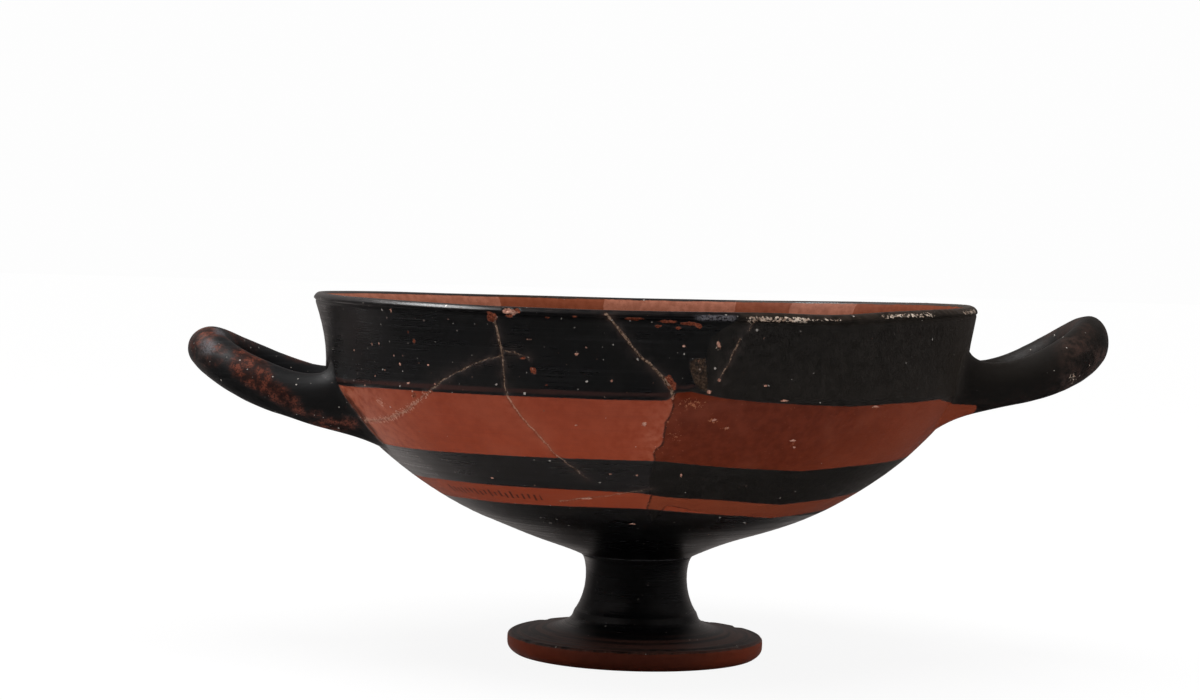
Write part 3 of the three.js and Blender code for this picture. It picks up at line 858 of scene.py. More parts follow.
edge_left[m] = -polygon_distance(np.c_[wall_base[m, 1], wall_z[m]], ROOT_BLACK[-1])
wall_brown = np.where(edge_left > -0.5, 0.85 * smooth(4.0, 2.7, edge_left + 0.6 * wave(wall_base / 1.7, 77)) * smooth(62.5, 59.5, wall_z), 0)
numbers = np.full(len(flat_pts), -1)
own = same == np.arange(len(flat_pts))
used = np.zeros(len(flat_pts), bool)
used[same[tris.ravel()]] = True
take = np.where(own & used)[0]
numbers[take] = put(
    wall_xyz[take],
    red=wall_red[take],
    restored=rest_all[take],
    crack=crack_d[take],
    chip_red=chip_red[take],
    chip_pale=chip_pale[take],
    patch=patch_d[take],
    stripe=stripe[take],
    across=(wall_theta * wall_r)[take],
    height=np.where(outside, wall_z, 200 + wall_s)[take],
    worn=worn[take],
    dusty=np.where(outside, 1.0, 0.7)[take],
    inner=np.where(outside, 0.0, 1.0)[take],
    fleck=fleck[take],
    grey=grey[take],
    brown=wall_brown[take],
)
numbers = numbers[same]

# places in the bake map, millimetres on a sheet
SHEET = 430.0


def on_sheet(u, v):
    return np.c_[np.asarray(u) / SHEET, np.asarray(v) / SHEET]


wall_sheet = on_sheet(flat_pts[:, 0] - LEFT_U + 4, flat_pts[:, 1] + 4)
faces += [tuple(f) for f in numbers[tris]]
face_uv += [wall_sheet[t] for t in tris]
SHEET_Y = S_END + 10.0


def ring_numbers(s_value, want):
    at = np.where(np.abs(flat_pts[:, 1] - s_value) < 1e-5)[0]
    at = at[np.argsort(flat_pts[at, 0])]
    assert len(at) == want + 1, (len(at), want)
    return numbers[at[:-1]]


def quads(a, b, uv_a, uv_b, closed=True):
    """Faces between two rings of the same count, with their places on the sheet."""
    n = len(a)
    for i in range(n if closed else n - 1):
        j = (i + 1) % n
        faces.append((a[i], a[j], b[j], b[i]))
        face_uv.append(np.array([uv_a[i], uv_a[i + 1], uv_b[i + 1], uv_b[i]]))


def even(curve, gap):
    c = curve if isinstance(curve, Curve) else Curve(curve)
    return np.linspace(0, c.length, max(2, int(round(c.length / gap)) + 1)), c


def disc_sheet(theta_n, radius, cx, cy):
    t = TAU * np.arange(theta_n + 1) / theta_n
    return on_sheet(cx + radius * np.cos(t), cy + radius * np.sin(t))


# ------------------------------------------------------------------ foot, stem and the cone under the bowl
top_curve, ring_curve, shaft_curve = stem_curve(120)
low_parts = [
    ("hollow", hollow_curve(80), 1.3),
    ("rest", np.array([(REST_INNER_R, 0), (REST_OUTER_R, 0)], float), 1.2),
    ("edge", foot_edge(160), 0.32),
    ("top", top_curve, 0.7),
    ("ring", ring_curve, 0.4),
    ("shaft", shaft_curve, 0.75),
    ("groove", spline([(STEM_TOP_R, STEM_TOP_Z), (STEM_TOP_R - 0.1, STEM_TOP_Z + 0.1), (STEM_TOP_R + 0.25, STEM_TOP_Z + 0.15)], 12), 0.14),
    ("cone", CONE, 0.85),
]
theta_low = THETA0 + TAU * np.arange(AROUND_LOW) / AROUND_LOW
rings = []
for name, pts, gap in low_parts:
    s, c = even(pts, gap)
    r, z = c.at(s)
    n = c.normal(s)
    for k in range(len(s)):
        if rings and k == 0:
            continue
        rings.append((name, r[k], z[k], n[k], s[k]))
lower_numbers = ring_numbers(0.0, AROUND_LOW)
sheet_at = {"hollow": (32, 32), "rest": (32, 32), "edge": (200, 70), "top": (100, 34), "ring": (200, 78), "shaft": (200, 84), "groove": (100, 0), "cone": (160, 40)}
FOOT_NICKS = [(-1.98, 0.9, 0.35), (-0.62, 0.7, 0.3), (-2.55, 0.8, 0.3), (0.9, 1.0, 0.4), (1.18, 0.8, 0.55), (2.4, 1.1, 0.4), (-1.3, 0.5, 0.2), (0.56, 1.0, 0.6), (0.05, 0.9, 0.35)]
previous = None
pole = None
run = 0.0
for k, (name, r, z, n, s) in enumerate(rings):
    last_ring = k == len(rings) - 1
    if r < 1e-6:
        pole = put(np.array([[0, 0, z]]), red=3.0, height=z, dusty=0.6)
        continue
    base = placed(theta_low, np.full(AROUND_LOW, r), np.full(AROUND_LOW, z))
    if last_ring:
        ids = lower_numbers
    else:
        d = 0.05 * waves(base / 16.0, 5, 2)
        if name in ("shaft", "cone"):
            d = d + 0.012 * np.sin(s * 3.1)
        if name == "top":
            d = d + 0.025 * np.sin(s * 4.4) - 0.17 * np.exp(-(((r - 28.1) / 0.4) ** 2)) - 0.10 * np.exp(-(((r - 25.6) / 0.4) ** 2)) - 0.07 * np.exp(-(((r - 21.5) / 0.4) ** 2))
        if name in ("rest",):
            d = d * 0
        if name in ("edge", "top"):
            for t0, wide, deep in FOOT_NICKS:
                away = np.abs((theta_low - t0 + math.pi) % TAU - math.pi) * 30
                arris = np.exp(-(((z - FOOT_TOP_Z) / 0.7) ** 2)) if name == "edge" else math.exp(-(((r - FOOT_TOP_R) / 0.8) ** 2))
                d = d - deep * arris * np.exp(-((away / wide) ** 2))
            if name == "edge":
                d = d * smooth(0.0, 0.8, z)
        xyz = placed(theta_low, r + d * n[0], z + d * n[1])
        if name in ("hollow", "rest"):
            red = np.full(AROUND_LOW, 3.0)
        elif name == "edge":
            red = 4.08 + 0.10 * wave(base / 3.0, 44) - z
        elif name == "top":
            red = (r - FOOT_TOP_R) - 0.2 + 0.12 * wave(base / 3.0, 44)
        elif name == "cone":
            red = red_field(theta_low, np.full(AROUND_LOW, z), base)
        else:
            red = np.full(AROUND_LOW, -9.0)
        # painted shade: on the foot's edge the brown share is larger at the front and back than at the sides, darkening
        # the red there
        brown = 0.70 - 0.42 * smooth(0.35, 0.95, np.abs(np.cos(theta_low)) + 0.12 * wave(base / 6.0, 47)) if name == "edge" else 0.0
        worn_low = np.exp(-abs(z - FOOT_TOP_Z) / 0.5) * 0.5 if name in ("edge", "top") else 0.0
        ids = put(
            xyz,
            red=red,
            across=theta_low * r,
            height=z if name in ("cone", "shaft", "ring") else 300 + r,
            brown=brown,
            worn=worn_low,
            dusty=0.8 if name in ("top", "edge") else 0.35,
            grey=0.75 if name == "groove" else 0.0,
            restored=-20.0,
        )
    cx, cy = sheet_at[name]
    if previous is None:
        uv_pole = on_sheet([32], [SHEET_Y + 32])[0]
        uv_b = disc_sheet(AROUND_LOW, r, 32, SHEET_Y + 32)
        for i in range(AROUND_LOW):
            j = (i + 1) % AROUND_LOW
            faces.append((pole[0], ids[j], ids[i])[::-1])
            face_uv.append(np.array([uv_pole, uv_b[i + 1], uv_b[i]])[::-1])
    else:
        p_ids, p_r, p_z, p_s = previous
        if name in ("hollow", "rest"):
            uv_a, uv_b = (disc_sheet(AROUND_LOW, q, 32, SHEET_Y + 32) for q in (p_r, r))
        elif name == "top":
            uv_a, uv_b = (disc_sheet(AROUND_LOW, q, 98, SHEET_Y + 32) for q in (p_r, r))
        elif name in ("cone", "groove"):
            uv_a, uv_b = (disc_sheet(AROUND_LOW, q, 170, SHEET_Y + 40) for q in (p_r, r))
        else:
            t = np.linspace(0, 1, AROUND_LOW + 1)
            wide = {"edge": 188.0, "ring": 92.0, "shaft": 84.0}[name]
            y0 = {"edge": 0.0, "ring": 10.0, "shaft": 16.0}[name]
            step = math.hypot(r - p_r, z - p_z)
            if name != run_name:
                run = 0.0
            uv_a = on_sheet(215 + t * wide, np.full(AROUND_LOW + 1, SHEET_Y + y0 + run))
            run += step
            uv_b = on_sheet(215 + t * wide, np.full(AROUND_LOW + 1, SHEET_Y + y0 + run))
        quads(p_ids, ids, uv_a, uv_b)
    run_name = name
    previous = (ids, r, z, s)

# ------------------------------------------------------------------ inside of the bowl
s_in, inner = even(INNER, 1.45)
r_in, z_in = inner.at(s_in)
n_in = inner.normal(s_in)
theta_in = THETA0 + TAU * np.arange(AROUND_IN) / AROUND_IN
previous = (ring_numbers(S_END, AROUND_IN), inner.length)
for k in range(1, len(s_in)):
    radius = inner.length - s_in[k]
    base = placed(theta_in, np.full(AROUND_IN, r_in[k]), np.full(AROUND_IN, z_in[k]))
    uv_a = disc_sheet(AROUND_IN, previous[1], 92, SHEET_Y + 165)
    if k == len(s_in) - 1:
        tip = put(np.array([[0, 0, z_in[k]]]), red=8.0, height=500.0, inner=1.0, dusty=0.7)
        uv_tip = on_sheet([92], [SHEET_Y + 165])[0]
        for i in range(AROUND_IN):
            j = (i + 1) % AROUND_IN
            faces.append((previous[0][i], previous[0][j], tip[0]))
            face_uv.append(np.array([uv_a[i], uv_a[i + 1], uv_tip]))
        break
    d = 0.08 * waves(base / 22.0, 15, 2) + 0.02 * np.sin(s_in[k] * 1.9)
    xyz = placed(theta_in, r_in[k] + d * n_in[k, 0], z_in[k] + d * n_in[k, 1])
    red_in = 8.0 + 0.15 * wave(base / 4.0, 71) - r_in[k]
    ring_line = 0.45 - abs(r_in[k] - 5.2)
    red_in = np.minimum(red_in, -ring_line)
    ids = put(xyz, red=red_in, across=theta_in * r_in[k], height=200 + S_END + s_in[k], inner=1.0, dusty=0.7)
    quads(previous[0], ids, uv_a, disc_sheet(AROUND_IN, radius, 92, SHEET_Y + 165))
    previous = (ids, radius)

# ------------------------------------------------------------------ handles
flat_tree = tree_of(np.c_[flat_pts, np.zeros(len(flat_pts))])


def handle(h, number):
    side = h["side"]
    root_x = math.sqrt(wall_radius(h["rootZ"]) ** 2 - h["spread"] ** 2)

    def centre(u):
        turn = u * math.pi / 2
        out = abs(math.cos(turn)) ** (2 / LOOP_POWER)
        y = h["spread"] * np.sign(u) * abs(math.sin(turn)) ** (2 / LOOP_POWER)
        return np.array([side * (root_x + (h["apexX"] - root_x) * out), y, h["rootZ"] + (h["apexZ"] - h["rootZ"]) * out ** h["rise"] + h["lean"] * y])

    us = np.linspace(-1, 1, 4001)
    line = np.array([centre(u) for u in us])
    run = np.r_[0, np.cumsum(np.linalg.norm(np.diff(line, axis=0), axis=1))]
    start, stop = 6.0, run[-1] - 6.0
    stations = np.linspace(start, stop, int((stop - start) / 1.15))
    a = TAU * np.arange(AROUND_ROD) / AROUND_ROD
    tube = []
    for q in stations:
        u = np.interp(q, run, us)
        c = np.array([np.interp(q, run, line[:, k]) for k in range(3)])
        t = np.array([np.interp(q + 0.6, run, line[:, k]) - np.interp(q - 0.6, run, line[:, k]) for k in range(3)])
        t /= np.linalg.norm(t)
        across = np.cross(t, (0, 0, 1))
        across /= np.linalg.norm(across)
        up = np.cross(across, t)
        bend = math.cos(u * math.pi / 2) ** 2
        flare = max(0.0, 1 - (abs(c[0]) - root_x) / ROOT_FLARE) ** 2
        half_h = h["rodHalfH"] + (h["apexHalfH"] - h["rodHalfH"]) * bend + (h["rootHalf"] - h["rodHalfH"]) * flare
        half_w = ROD_HALF_W + (h["apexHalfW"] - ROD_HALF_W) * bend + (ROOT_HALF_W - ROD_HALF_W) * flare
        ring = c + np.outer(np.cos(a) * half_w, across) + np.outer(np.sin(a) * half_h, up)
        out = np.outer(np.cos(a) / half_w, across) + np.outer(np.sin(a) / half_h, up)
        out /= np.linalg.norm(out, axis=1)[:, None]
        d = 0.22 * waves(ring / 11.0, 131 + number, 2) + 0.05 * waves(ring / 2.6, 141 + number, 2)
        tube.append((ring + out * d[:, None], t, q))
    columns = []
    for end in (-1, 1):
        loop = root_ring(h, end)
        f = flat(loop[:, 0], loop[:, 1])
        _, at = nearest(flat_tree, np.c_[f, np.zeros(len(f))])
        ids = numbers[at]
        w = wall_xyz[at]
        n = np.c_[wall_n[at, 0] * np.cos(loop[:, 0]), wall_n[at, 0] * np.sin(loop[:, 0]), wall_n[at, 1]]
        inward = w.mean(0) - w
        inward -= np.sum(inward * n, 1)[:, None] * n
        inward /= np.linalg.norm(inward, axis=1)[:, None]
        ring, t, _ = tube[0] if end < 0 else tube[-1]
        away = t if end < 0 else -t
        reach = np.linalg.norm(ring - w, axis=1)[:, None]
        rows_in = []
        for k in range(1, 9):
            x = k / 9
            h00, h10 = 2 * x**3 - 3 * x**2 + 1, x**3 - 2 * x**2 + x
            h01, h11 = -2 * x**3 + 3 * x**2, x**3 - x**2
            p = h00 * w + h10 * 0.75 * reach * inward + h01 * ring + h11 * 0.95 * reach * away
            rows_in.append((p, x))
        columns.append((ids, rows_in, at))
    chain = [(columns[0][0], None, 0.0)]
    chain += [(None, p, x) for p, x in columns[0][1]]
    chain += [(None, p, 1.0) for p, _, _ in tube]
    chain += [(None, p, x) for p, x in columns[1][1][::-1]]
    chain += [(columns[1][0], None, 0.0)]
    places = [wall_xyz[at_ring] for at_ring in (columns[0][2],)] + [p for _, p, _ in chain[1:-1]] + [wall_xyz[columns[1][2]]]
    stack = np.array(places)
    free = np.zeros(len(stack))
    free[1:15] = 1
    free[-15:-1] = 1
    for _ in range(10):
        stack[1:-1] += free[1:-1, None, None] * 0.5 * (0.5 * (stack[2:] + stack[:-2]) - stack[1:-1])
    chain = [(i, None if p is None else stack[k], x) for k, (i, p, x) in enumerate(chain)]
    previous = None
    run_v = 0.0
    y0 = SHEET_Y + 82 + (0 if side < 0 else 62)
    for ids, p, x in chain:
        if ids is None:
            theta = np.arctan2(p[:, 1], p[:, 0])
            red = red_field(theta, p[:, 2], p)
            # the band runs on under the root of the restored side
            red = np.minimum(red, 75.5 - np.abs(p[:, 0]) + 0.6 * wave(p / 3.0, 201)) if side > 0 else np.full(len(p), -3.0)
            tip = smooth(90, 101, np.abs(p[:, 0]))
            under = smooth(0.2, -0.8, (p[:, 2] - p[:, 2].mean()) / 5.0)
            patchy = waves(p / 6.0, 221, 3)
            if side < 0:
                # fired red brown on the far leg, the tip and under the roots
                d = (p - np.array([-88.0, 25.0, 66.0])) / np.array([9.0, 8.0, 5.0])
                flush = np.where(p[:, 1] > 0, 0.8 * smooth(1.2, 0.5, np.linalg.norm(d, axis=1) + 0.4 * patchy), 0)
                low_root = under * smooth(86, 74, np.abs(p[:, 0])) * smooth(-0.5, 0.1, patchy) * (p[:, 1] > 0)
                brown = np.clip(np.maximum.reduce([flush, 0.8 * low_root, 0.75 * tip * smooth(-0.35, 0.3, patchy) * (p[:, 1] > -12)]), 0, 1)
                pale = 0.35 * smooth(97, 104, np.abs(p[:, 0])) * smooth(-0.2, 0.4, waves(p / 4.0, 231, 2))
            else:
                brown = np.clip(0.12 * tip * smooth(-0.3, 0.5, patchy) + 0.08 * under, 0, 1)
                pale = 0.22 * tip * smooth(-0.3, 0.6, patchy)
            view = p - EYE
            depth = view @ FORWARD
            at_px = np.c_[600 + FOCAL_PX * (view @ CAM_RIGHT) / depth, 350 - FOCAL_PX * (view @ CAM_UP) / depth]
            near = np.clip(-p[:, 1] / 3.0, 0, 1)
            rod_fleck, rod_painted_highlight = np.zeros(len(p)), np.zeros(len(p))
            if side < 0:
                inside_patch = polygon_distance(at_px, ROD_PATCH) * 0.23 + 0.7 * waves(p / 2.6, 251, 2)
                brown = np.maximum(brown, near * 0.98 * smooth(-0.6, 0.6, inside_patch))
            for x0, y0_px, rx, ry, kind, share in ROD_SPOTS:
                rho = np.hypot((at_px[:, 0] - x0) / rx, (at_px[:, 1] - y0_px) / ry) + 0.3 * waves(p / 2.2, 261, 2)
                spot_share = near * share * smooth(1.25, 0.6, rho)
                if kind == "brown":
                    brown = np.maximum(brown, spot_share)
                elif kind == "grey":
                    rod_painted_highlight = np.maximum(rod_painted_highlight, spot_share)
                else:
                    rod_fleck = np.maximum(rod_fleck, spot_share)
            for x0, y0_px, rx, ry, share in ROD_FLECKS:
                rho = np.hypot((at_px[:, 0] - x0) / rx, (at_px[:, 1] - y0_px) / ry)
                rod_fleck = np.maximum(rod_fleck, near * share * smooth(1.2, 0.3, rho))
            rest = np.full(len(p), -20.0 if side < 0 else 6.0)
            ids = put(p, red=red, across=np.arctan2(p[:, 1], p[:, 0]) * 74, height=p[:, 2], brown=brown, restored=rest, dusty=1.0, worn=pale, fleck=rod_fleck, grey=rod_painted_highlight, rod=min(1.0, 2.6 * x))
            pos = p
        else:
            pos = np.vstack(verts)[ids]
        if previous is not None:
            step = float(np.linalg.norm(pos - previous[1], axis=1).mean())
            t = np.linspace(0, 36.0, AROUND_ROD + 1)
            uv_a = on_sheet(np.full(AROUND_ROD + 1, 265 + run_v), y0 + t)
            run_v += step
            uv_b = on_sheet(np.full(AROUND_ROD + 1, 265 + run_v), y0 + t)
            pa = previous[0]
            for i in range(AROUND_ROD):
                j = (i + 1) % AROUND_ROD
                faces.append((pa[i], ids[i], ids[j], pa[j]))
                face_uv.append(np.array([uv_a[i], uv_b[i], uv_b[i + 1], uv_a[i + 1]]))
        previous = (ids, pos)


for number, h in enumerate(HANDLES):
    handle(h, number)

# ------------------------------------------------------------------ the mesh
mesh = bpy.data.meshes.new("kylix_cup")
mesh.from_pydata((np.vstack(verts) * MM).tolist(), [], [tuple(int(i) for i in f) for f in faces])
mesh.polygons.foreach_set("use_smooth", np.ones(len(mesh.polygons), bool))
for k in NAMES:
    layer = mesh.attributes.new(k, "FLOAT", "POINT")
    layer.data.foreach_set("value", np.concatenate(attrs[k]).astype(np.float32))
uv_layer = mesh.uv_layers.new(name="OFBake")
uv_layer.data.foreach_set("uv", np.concatenate([np.asarray(u, np.float32).reshape(-1) for u in face_uv]))
mesh.update()
cup = bpy.data.objects.new("kylix_cup", mesh)
bpy.context.scene.collection.objects.link(cup)


# ------------------------------------------------------------------ material
class Nodes:
    def __init__(self, tree):
        self.t = tree

    def new(self, kind, **props):
        node = self.t.nodes.new(kind)
        for k, val in props.items():
            setattr(node, k, val)
        return node

    def feed(self, socket, value):
        if hasattr(value, "is_output"):
            self.t.links.new(value, socket)
        elif value is not None:
            socket.default_value = value

    def attr(self, name):
        return self.new("ShaderNodeAttribute", attribute_name=name).outputs["Fac"]

    def math(self, op, a, b=None, c=None, clamp=False):
        node = self.new("ShaderNodeMath", operation=op, use_clamp=clamp)
        for i, x in enumerate((a, b, c)):
            if x is not None:
                self.feed(node.inputs[i], x)
        return node.outputs[0]

    def ramp(self, x, lo, hi, out_lo=0.0, out_hi=1.0, soft=True):
        node = self.new("ShaderNodeMapRange", interpolation_type="SMOOTHSTEP" if soft else "LINEAR", clamp=True)
        self.feed(node.inputs["Value"], x)
        for k, val in (("From Min", lo), ("From Max", hi), ("To Min", out_lo), ("To Max", out_hi)):
            self.feed(node.inputs[k], val)
        return node.outputs[0]

    def mix(self, f, a, b):
        node = self.new("ShaderNodeMix", data_type="RGBA", clamp_factor=True)
        self.feed(node.inputs[0], f)
        self.feed(node.inputs[6], a)
        self.feed(node.inputs[7], b)
        return node.outputs[2]

    def blend(self, f, a, b):
        node = self.new("ShaderNodeMix", data_type="FLOAT", clamp_factor=True)
        self.feed(node.inputs[0], f)
        self.feed(node.inputs[2], a)
        self.feed(node.inputs[3], b)
        return node.outputs[0]

    def noise(self, where, scale, detail=3.0, rough=0.55, out="Fac"):
        node = self.new("ShaderNodeTexNoise", noise_dimensions="3D")
        self.feed(node.inputs["Vector"], where)
        node.inputs["Scale"].default_value = scale
        node.inputs["Detail"].default_value = detail
        node.inputs["Roughness"].default_value = rough
        return node.outputs[out]

    def vec(self, x, y, z):
        node = self.new("ShaderNodeCombineXYZ")
        for i, q in enumerate((x, y, z)):
            self.feed(node.inputs[i], q)
        return node.outputs[0]

    def cells(self, where, scale, feature="F1", rand=1.0):
        node = self.new("ShaderNodeTexVoronoi", feature=feature)
        self.feed(node.inputs["Vector"], where)
        node.inputs["Scale"].default_value = scale
        node.inputs["Randomness"].default_value = rand
        return node


mat = bpy.data.materials.new("black_gloss_clay")
mat.use_nodes = True
nt = mat.node_tree
nt.nodes.clear()
g = Nodes(nt)
out = g.new("ShaderNodeOutputMaterial")
bsdf = g.new("ShaderNodeBsdfPrincipled")
nt.links.new(bsdf.outputs[0], out.inputs["Surface"])

coord = g.new("ShaderNodeTexCoord").outputs["Object"]
metric = g.new("ShaderNodeVectorMath", operation="SCALE")
nt.links.new(coord, metric.inputs[0])
metric.inputs["Scale"].default_value = 1000.0
P = metric.outputs[0]  # millimetres
A = {k: g.attr(k) for k in NAMES}
n_fine = g.noise(P, 2.6, 3.0)
n_mid = g.noise(P, 0.55, 4.0)
n_big = g.noise(P, 0.085, 3.0)
jag = g.math("SUBTRACT", g.noise(P, 1.6, 4.0, 0.6), 0.5)
streak_at = g.vec(g.math("MULTIPLY", A["across"], 0.011), g.math("MULTIPLY", A["height"], 2.3), 0.0)
streak = g.noise(streak_at, 1.0, 3.0, 0.6)
fine_streak = g.noise(g.vec(g.math("MULTIPLY", A["across"], 0.03), g.math("MULTIPLY", A["height"], 3.8), 3.0), 1.0, 2.0, 0.6)

red_mask = g.ramp(g.math("ADD", A["red"], g.math("MULTIPLY", jag, 0.34)), -0.10, 0.10)
rest_mask = g.ramp(g.math("ADD", A["restored"], g.math("MULTIPLY", jag, 0.5)), -0.12, 0.12)
crack_mask = g.ramp(g.math("ADD", A["crack"], g.math("MULTIPLY", g.math("SUBTRACT", g.noise(P, 2.9, 3.0, 0.6), 0.5), 0.62)), 0.07, -0.06)
crack_rim = g.ramp(g.math("ADD", A["crack"], g.math("MULTIPLY", jag, 0.7)), 0.45, 0.05)
chip_mask = g.ramp(g.math("ADD", A["chip_red"], g.math("MULTIPLY", jag, 0.85)), 0.08, -0.08)
pale_mask = g.ramp(g.math("ADD", A["chip_pale"], g.math("MULTIPLY", jag, 0.8)), 0.08, -0.08)
patch_mask = g.ramp(g.math("ADD", A["patch"], g.math("MULTIPLY", jag, 1.2)), -0.15, 0.25)
stripe_mask = g.ramp(g.math("ADD", A["stripe"], g.math("MULTIPLY", jag, 0.3)), -0.2, 0.25)

# black gloss: fired slip, streaked by the brush on the wheel; painted shade makes it darkest low on the bowl, on the
# stem and on the foot
black = g.mix(g.ramp(streak, 0.38, 0.72), (0.0072, 0.0074, 0.0080, 1), (0.0118, 0.0114, 0.0116, 1))
black = g.mix(g.ramp(n_big, 0.5, 0.72, 0.0, 0.5), black, (0.0175, 0.0150, 0.0125, 1))
mid_zone = g.math("MULTIPLY", g.ramp(A["height"], 41.0, 45.0), g.ramp(A["height"], 66.0, 52.0))
black = g.mix(g.math("MULTIPLY", mid_zone, 0.6), black, (0.0190, 0.0165, 0.0160, 1))
black = g.mix(g.math("MULTIPLY", A["rod"], 0.55), black, (0.0040, 0.0040, 0.0042, 1))
lip_zone = g.math("MULTIPLY", g.ramp(A["height"], 60.5, 63.5), g.ramp(A["height"], 120.0, 100.0))
black = g.mix(g.math("MULTIPLY", lip_zone, 0.6), black, (0.0046, 0.0047, 0.0052, 1))
turned = g.noise(g.vec(g.math("MULTIPLY", A["across"], 0.02), g.math("MULTIPLY", A["height"], 3.6), 8.0), 1.0, 2.0, 0.55)
black = g.mix(g.math("MULTIPLY", lip_zone, g.ramp(turned, 0.54, 0.70, 0.0, 0.6)), black, (0.0185, 0.0185, 0.0195, 1))
# painted shade: the slip on the rim's bead is darkened
bead_zone = g.math("MULTIPLY", g.ramp(A["height"], 79.8, 81.2), g.ramp(A["height"], 120.0, 100.0))
black = g.mix(g.math("MULTIPLY", bead_zone, 0.7), black, (0.0024, 0.0025, 0.0028, 1))
# painted shade: the black is darkened low on the bowl, on the stem and all over the foot, and by the same height range
# on part of the bowl's inside
shaded_low_zone = g.math("MAXIMUM", g.ramp(A["height"], 37.5, 33.0), g.math("MULTIPLY", g.ramp(A["height"], 290.0, 299.0), g.ramp(A["height"], 345.0, 340.0)))
black = g.mix(g.math("MULTIPLY", shaded_low_zone, 0.9), black, g.mix(g.ramp(streak, 0.4, 0.7), (0.0022, 0.0026, 0.0031, 1), (0.0048, 0.0050, 0.0054, 1)))
black_rest = g.mix(g.ramp(n_mid, 0.3, 0.75), (0.0100, 0.0080, 0.0062, 1), (0.0165, 0.0130, 0.0102, 1))
black_rest = g.mix(g.math("MULTIPLY", g.ramp(n_fine, 0.55, 0.75), 0.5), black_rest, (0.022, 0.0175, 0.0135, 1))
black_rest = g.mix(g.ramp(A["across"], -48.0, -18.0, 0.0, 0.6), black_rest, (0.0270, 0.0210, 0.0165, 1))
black_rest = g.mix(g.math("MULTIPLY", A["rod"], 0.8), black_rest, (0.0048, 0.0043, 0.0040, 1))
black = g.mix(rest_mask, black, black_rest)
brown_col = g.mix(g.ramp(n_mid, 0.38, 0.66), (0.020, 0.0072, 0.0052, 1), (0.118, 0.031, 0.0175, 1))
brown_col = g.mix(g.ramp(n_fine, 0.47, 0.60, 0.0, 0.8), brown_col, (0.012, 0.0070, 0.0060, 1))
black = g.mix(g.math("MULTIPLY", A["brown"], g.ramp(n_mid, 0.10, 0.42)), black, brown_col)
black = g.mix(g.math("MULTIPLY", A["worn"], g.ramp(n_mid, 0.3, 0.62, 0.0, 0.75)), black, (0.155, 0.095, 0.078, 1))

# turned rings on the foot's top show the clay through the slip
ring_n = g.noise(g.vec(g.math("MULTIPLY", A["height"], 0.62), g.math("MULTIPLY", A["across"], 0.02), 5.0), 1.0, 3.0, 0.65)
on_top = g.math("MULTIPLY", g.ramp(A["height"], 316.0, 323.0), g.ramp(A["height"], 330.5, 329.5))
on_top = g.math("MULTIPLY", on_top, g.math("SUBTRACT", 1.0, A["inner"]))
black = g.mix(g.math("MULTIPLY", on_top, g.ramp(ring_n, 0.42, 0.56, 0.0, 0.85)), black, (0.088, 0.040, 0.031, 1))

# bare clay: orange red, a little cloudy; the restored part is overpainted darker
red = g.mix(g.ramp(n_mid, 0.3, 0.72), (0.199, 0.0316, 0.0113, 1), (0.226, 0.0392, 0.0156, 1))
red = g.mix(g.ramp(fine_streak, 0.48, 0.72, 0.0, 0.42), red, (0.158, 0.029, 0.0135, 1))
red = g.mix(g.ramp(n_big, 0.42, 0.7, 0.0, 0.3), red, (0.262, 0.060, 0.029, 1))
red = g.mix(g.ramp(n_fine, 0.56, 0.74, 0.0, 0.30), red, (0.135, 0.026, 0.013, 1))
# wear pales the red; on the left flank it is a painted sheen
red = g.mix(g.math("MULTIPLY", A["worn"], g.ramp(n_mid, 0.25, 0.65)), red, (0.330, 0.105, 0.062, 1))
# brown darkens the bare red where it is given; on the front and back of the foot's edge this is painted shade
red = g.mix(A["brown"], red, g.mix(n_mid, (0.050, 0.0145, 0.0088, 1), (0.085, 0.025, 0.0150, 1)))
red_rest = g.mix(g.ramp(n_mid, 0.3, 0.75), (0.083, 0.0118, 0.0032, 1), (0.112, 0.0180, 0.0060, 1))
red_rest = g.mix(g.ramp(n_big, 0.45, 0.68, 0.0, 0.5), red_rest, (0.140, 0.030, 0.0140, 1))
red_rest = g.mix(g.ramp(n_fine, 0.58, 0.78, 0.0, 0.4), red_rest, (0.055, 0.010, 0.0045, 1))
lower = g.ramp(A["height"], 46.0, 44.0)
red = g.mix(g.math("MULTIPLY", lower, 0.6), red, (0.205, 0.0365, 0.0150, 1))
red_rest = g.mix(g.ramp(A["across"], -78.0, -30.0, 0.0, 0.75), red_rest, (0.182, 0.0310, 0.0100, 1))
red_rest = g.mix(g.math("MULTIPLY", lower, 0.8), red_rest, (0.190, 0.0410, 0.0175, 1))
red = g.mix(rest_mask, red, red_rest)
red_in = g.mix(g.ramp(n_mid, 0.3, 0.7), (0.205, 0.069, 0.041, 1), (0.285, 0.107, 0.067, 1))
red_in = g.mix(g.ramp(n_fine, 0.58, 0.72, 0.0, 0.5), red_in, (0.07, 0.022, 0.014, 1))
red_in_rest = g.mix(g.ramp(n_mid, 0.3, 0.7), (0.134, 0.0325, 0.0140, 1), (0.172, 0.0460, 0.0220, 1))
red = g.mix(A["inner"], red, g.mix(rest_mask, red_in, red_in_rest))

colour = g.mix(red_mask, black, red)
colour = g.mix(g.math("MULTIPLY", stripe_mask, 0.85), colour, (0.036, 0.0140, 0.0115, 1))

# thin smear of old slip over the joint of bowl and restored red
smear = g.math("MULTIPLY", g.math("MULTIPLY", g.ramp(g.noise(P, 0.9, 5.0, 0.7), 0.6, 0.72), rest_mask), red_mask)
smear = g.math("MULTIPLY", smear, g.ramp(A["restored"], 14.0, 3.0, 0.3, 0.8))
colour = g.mix(smear, colour, (0.185, 0.052, 0.026, 1))

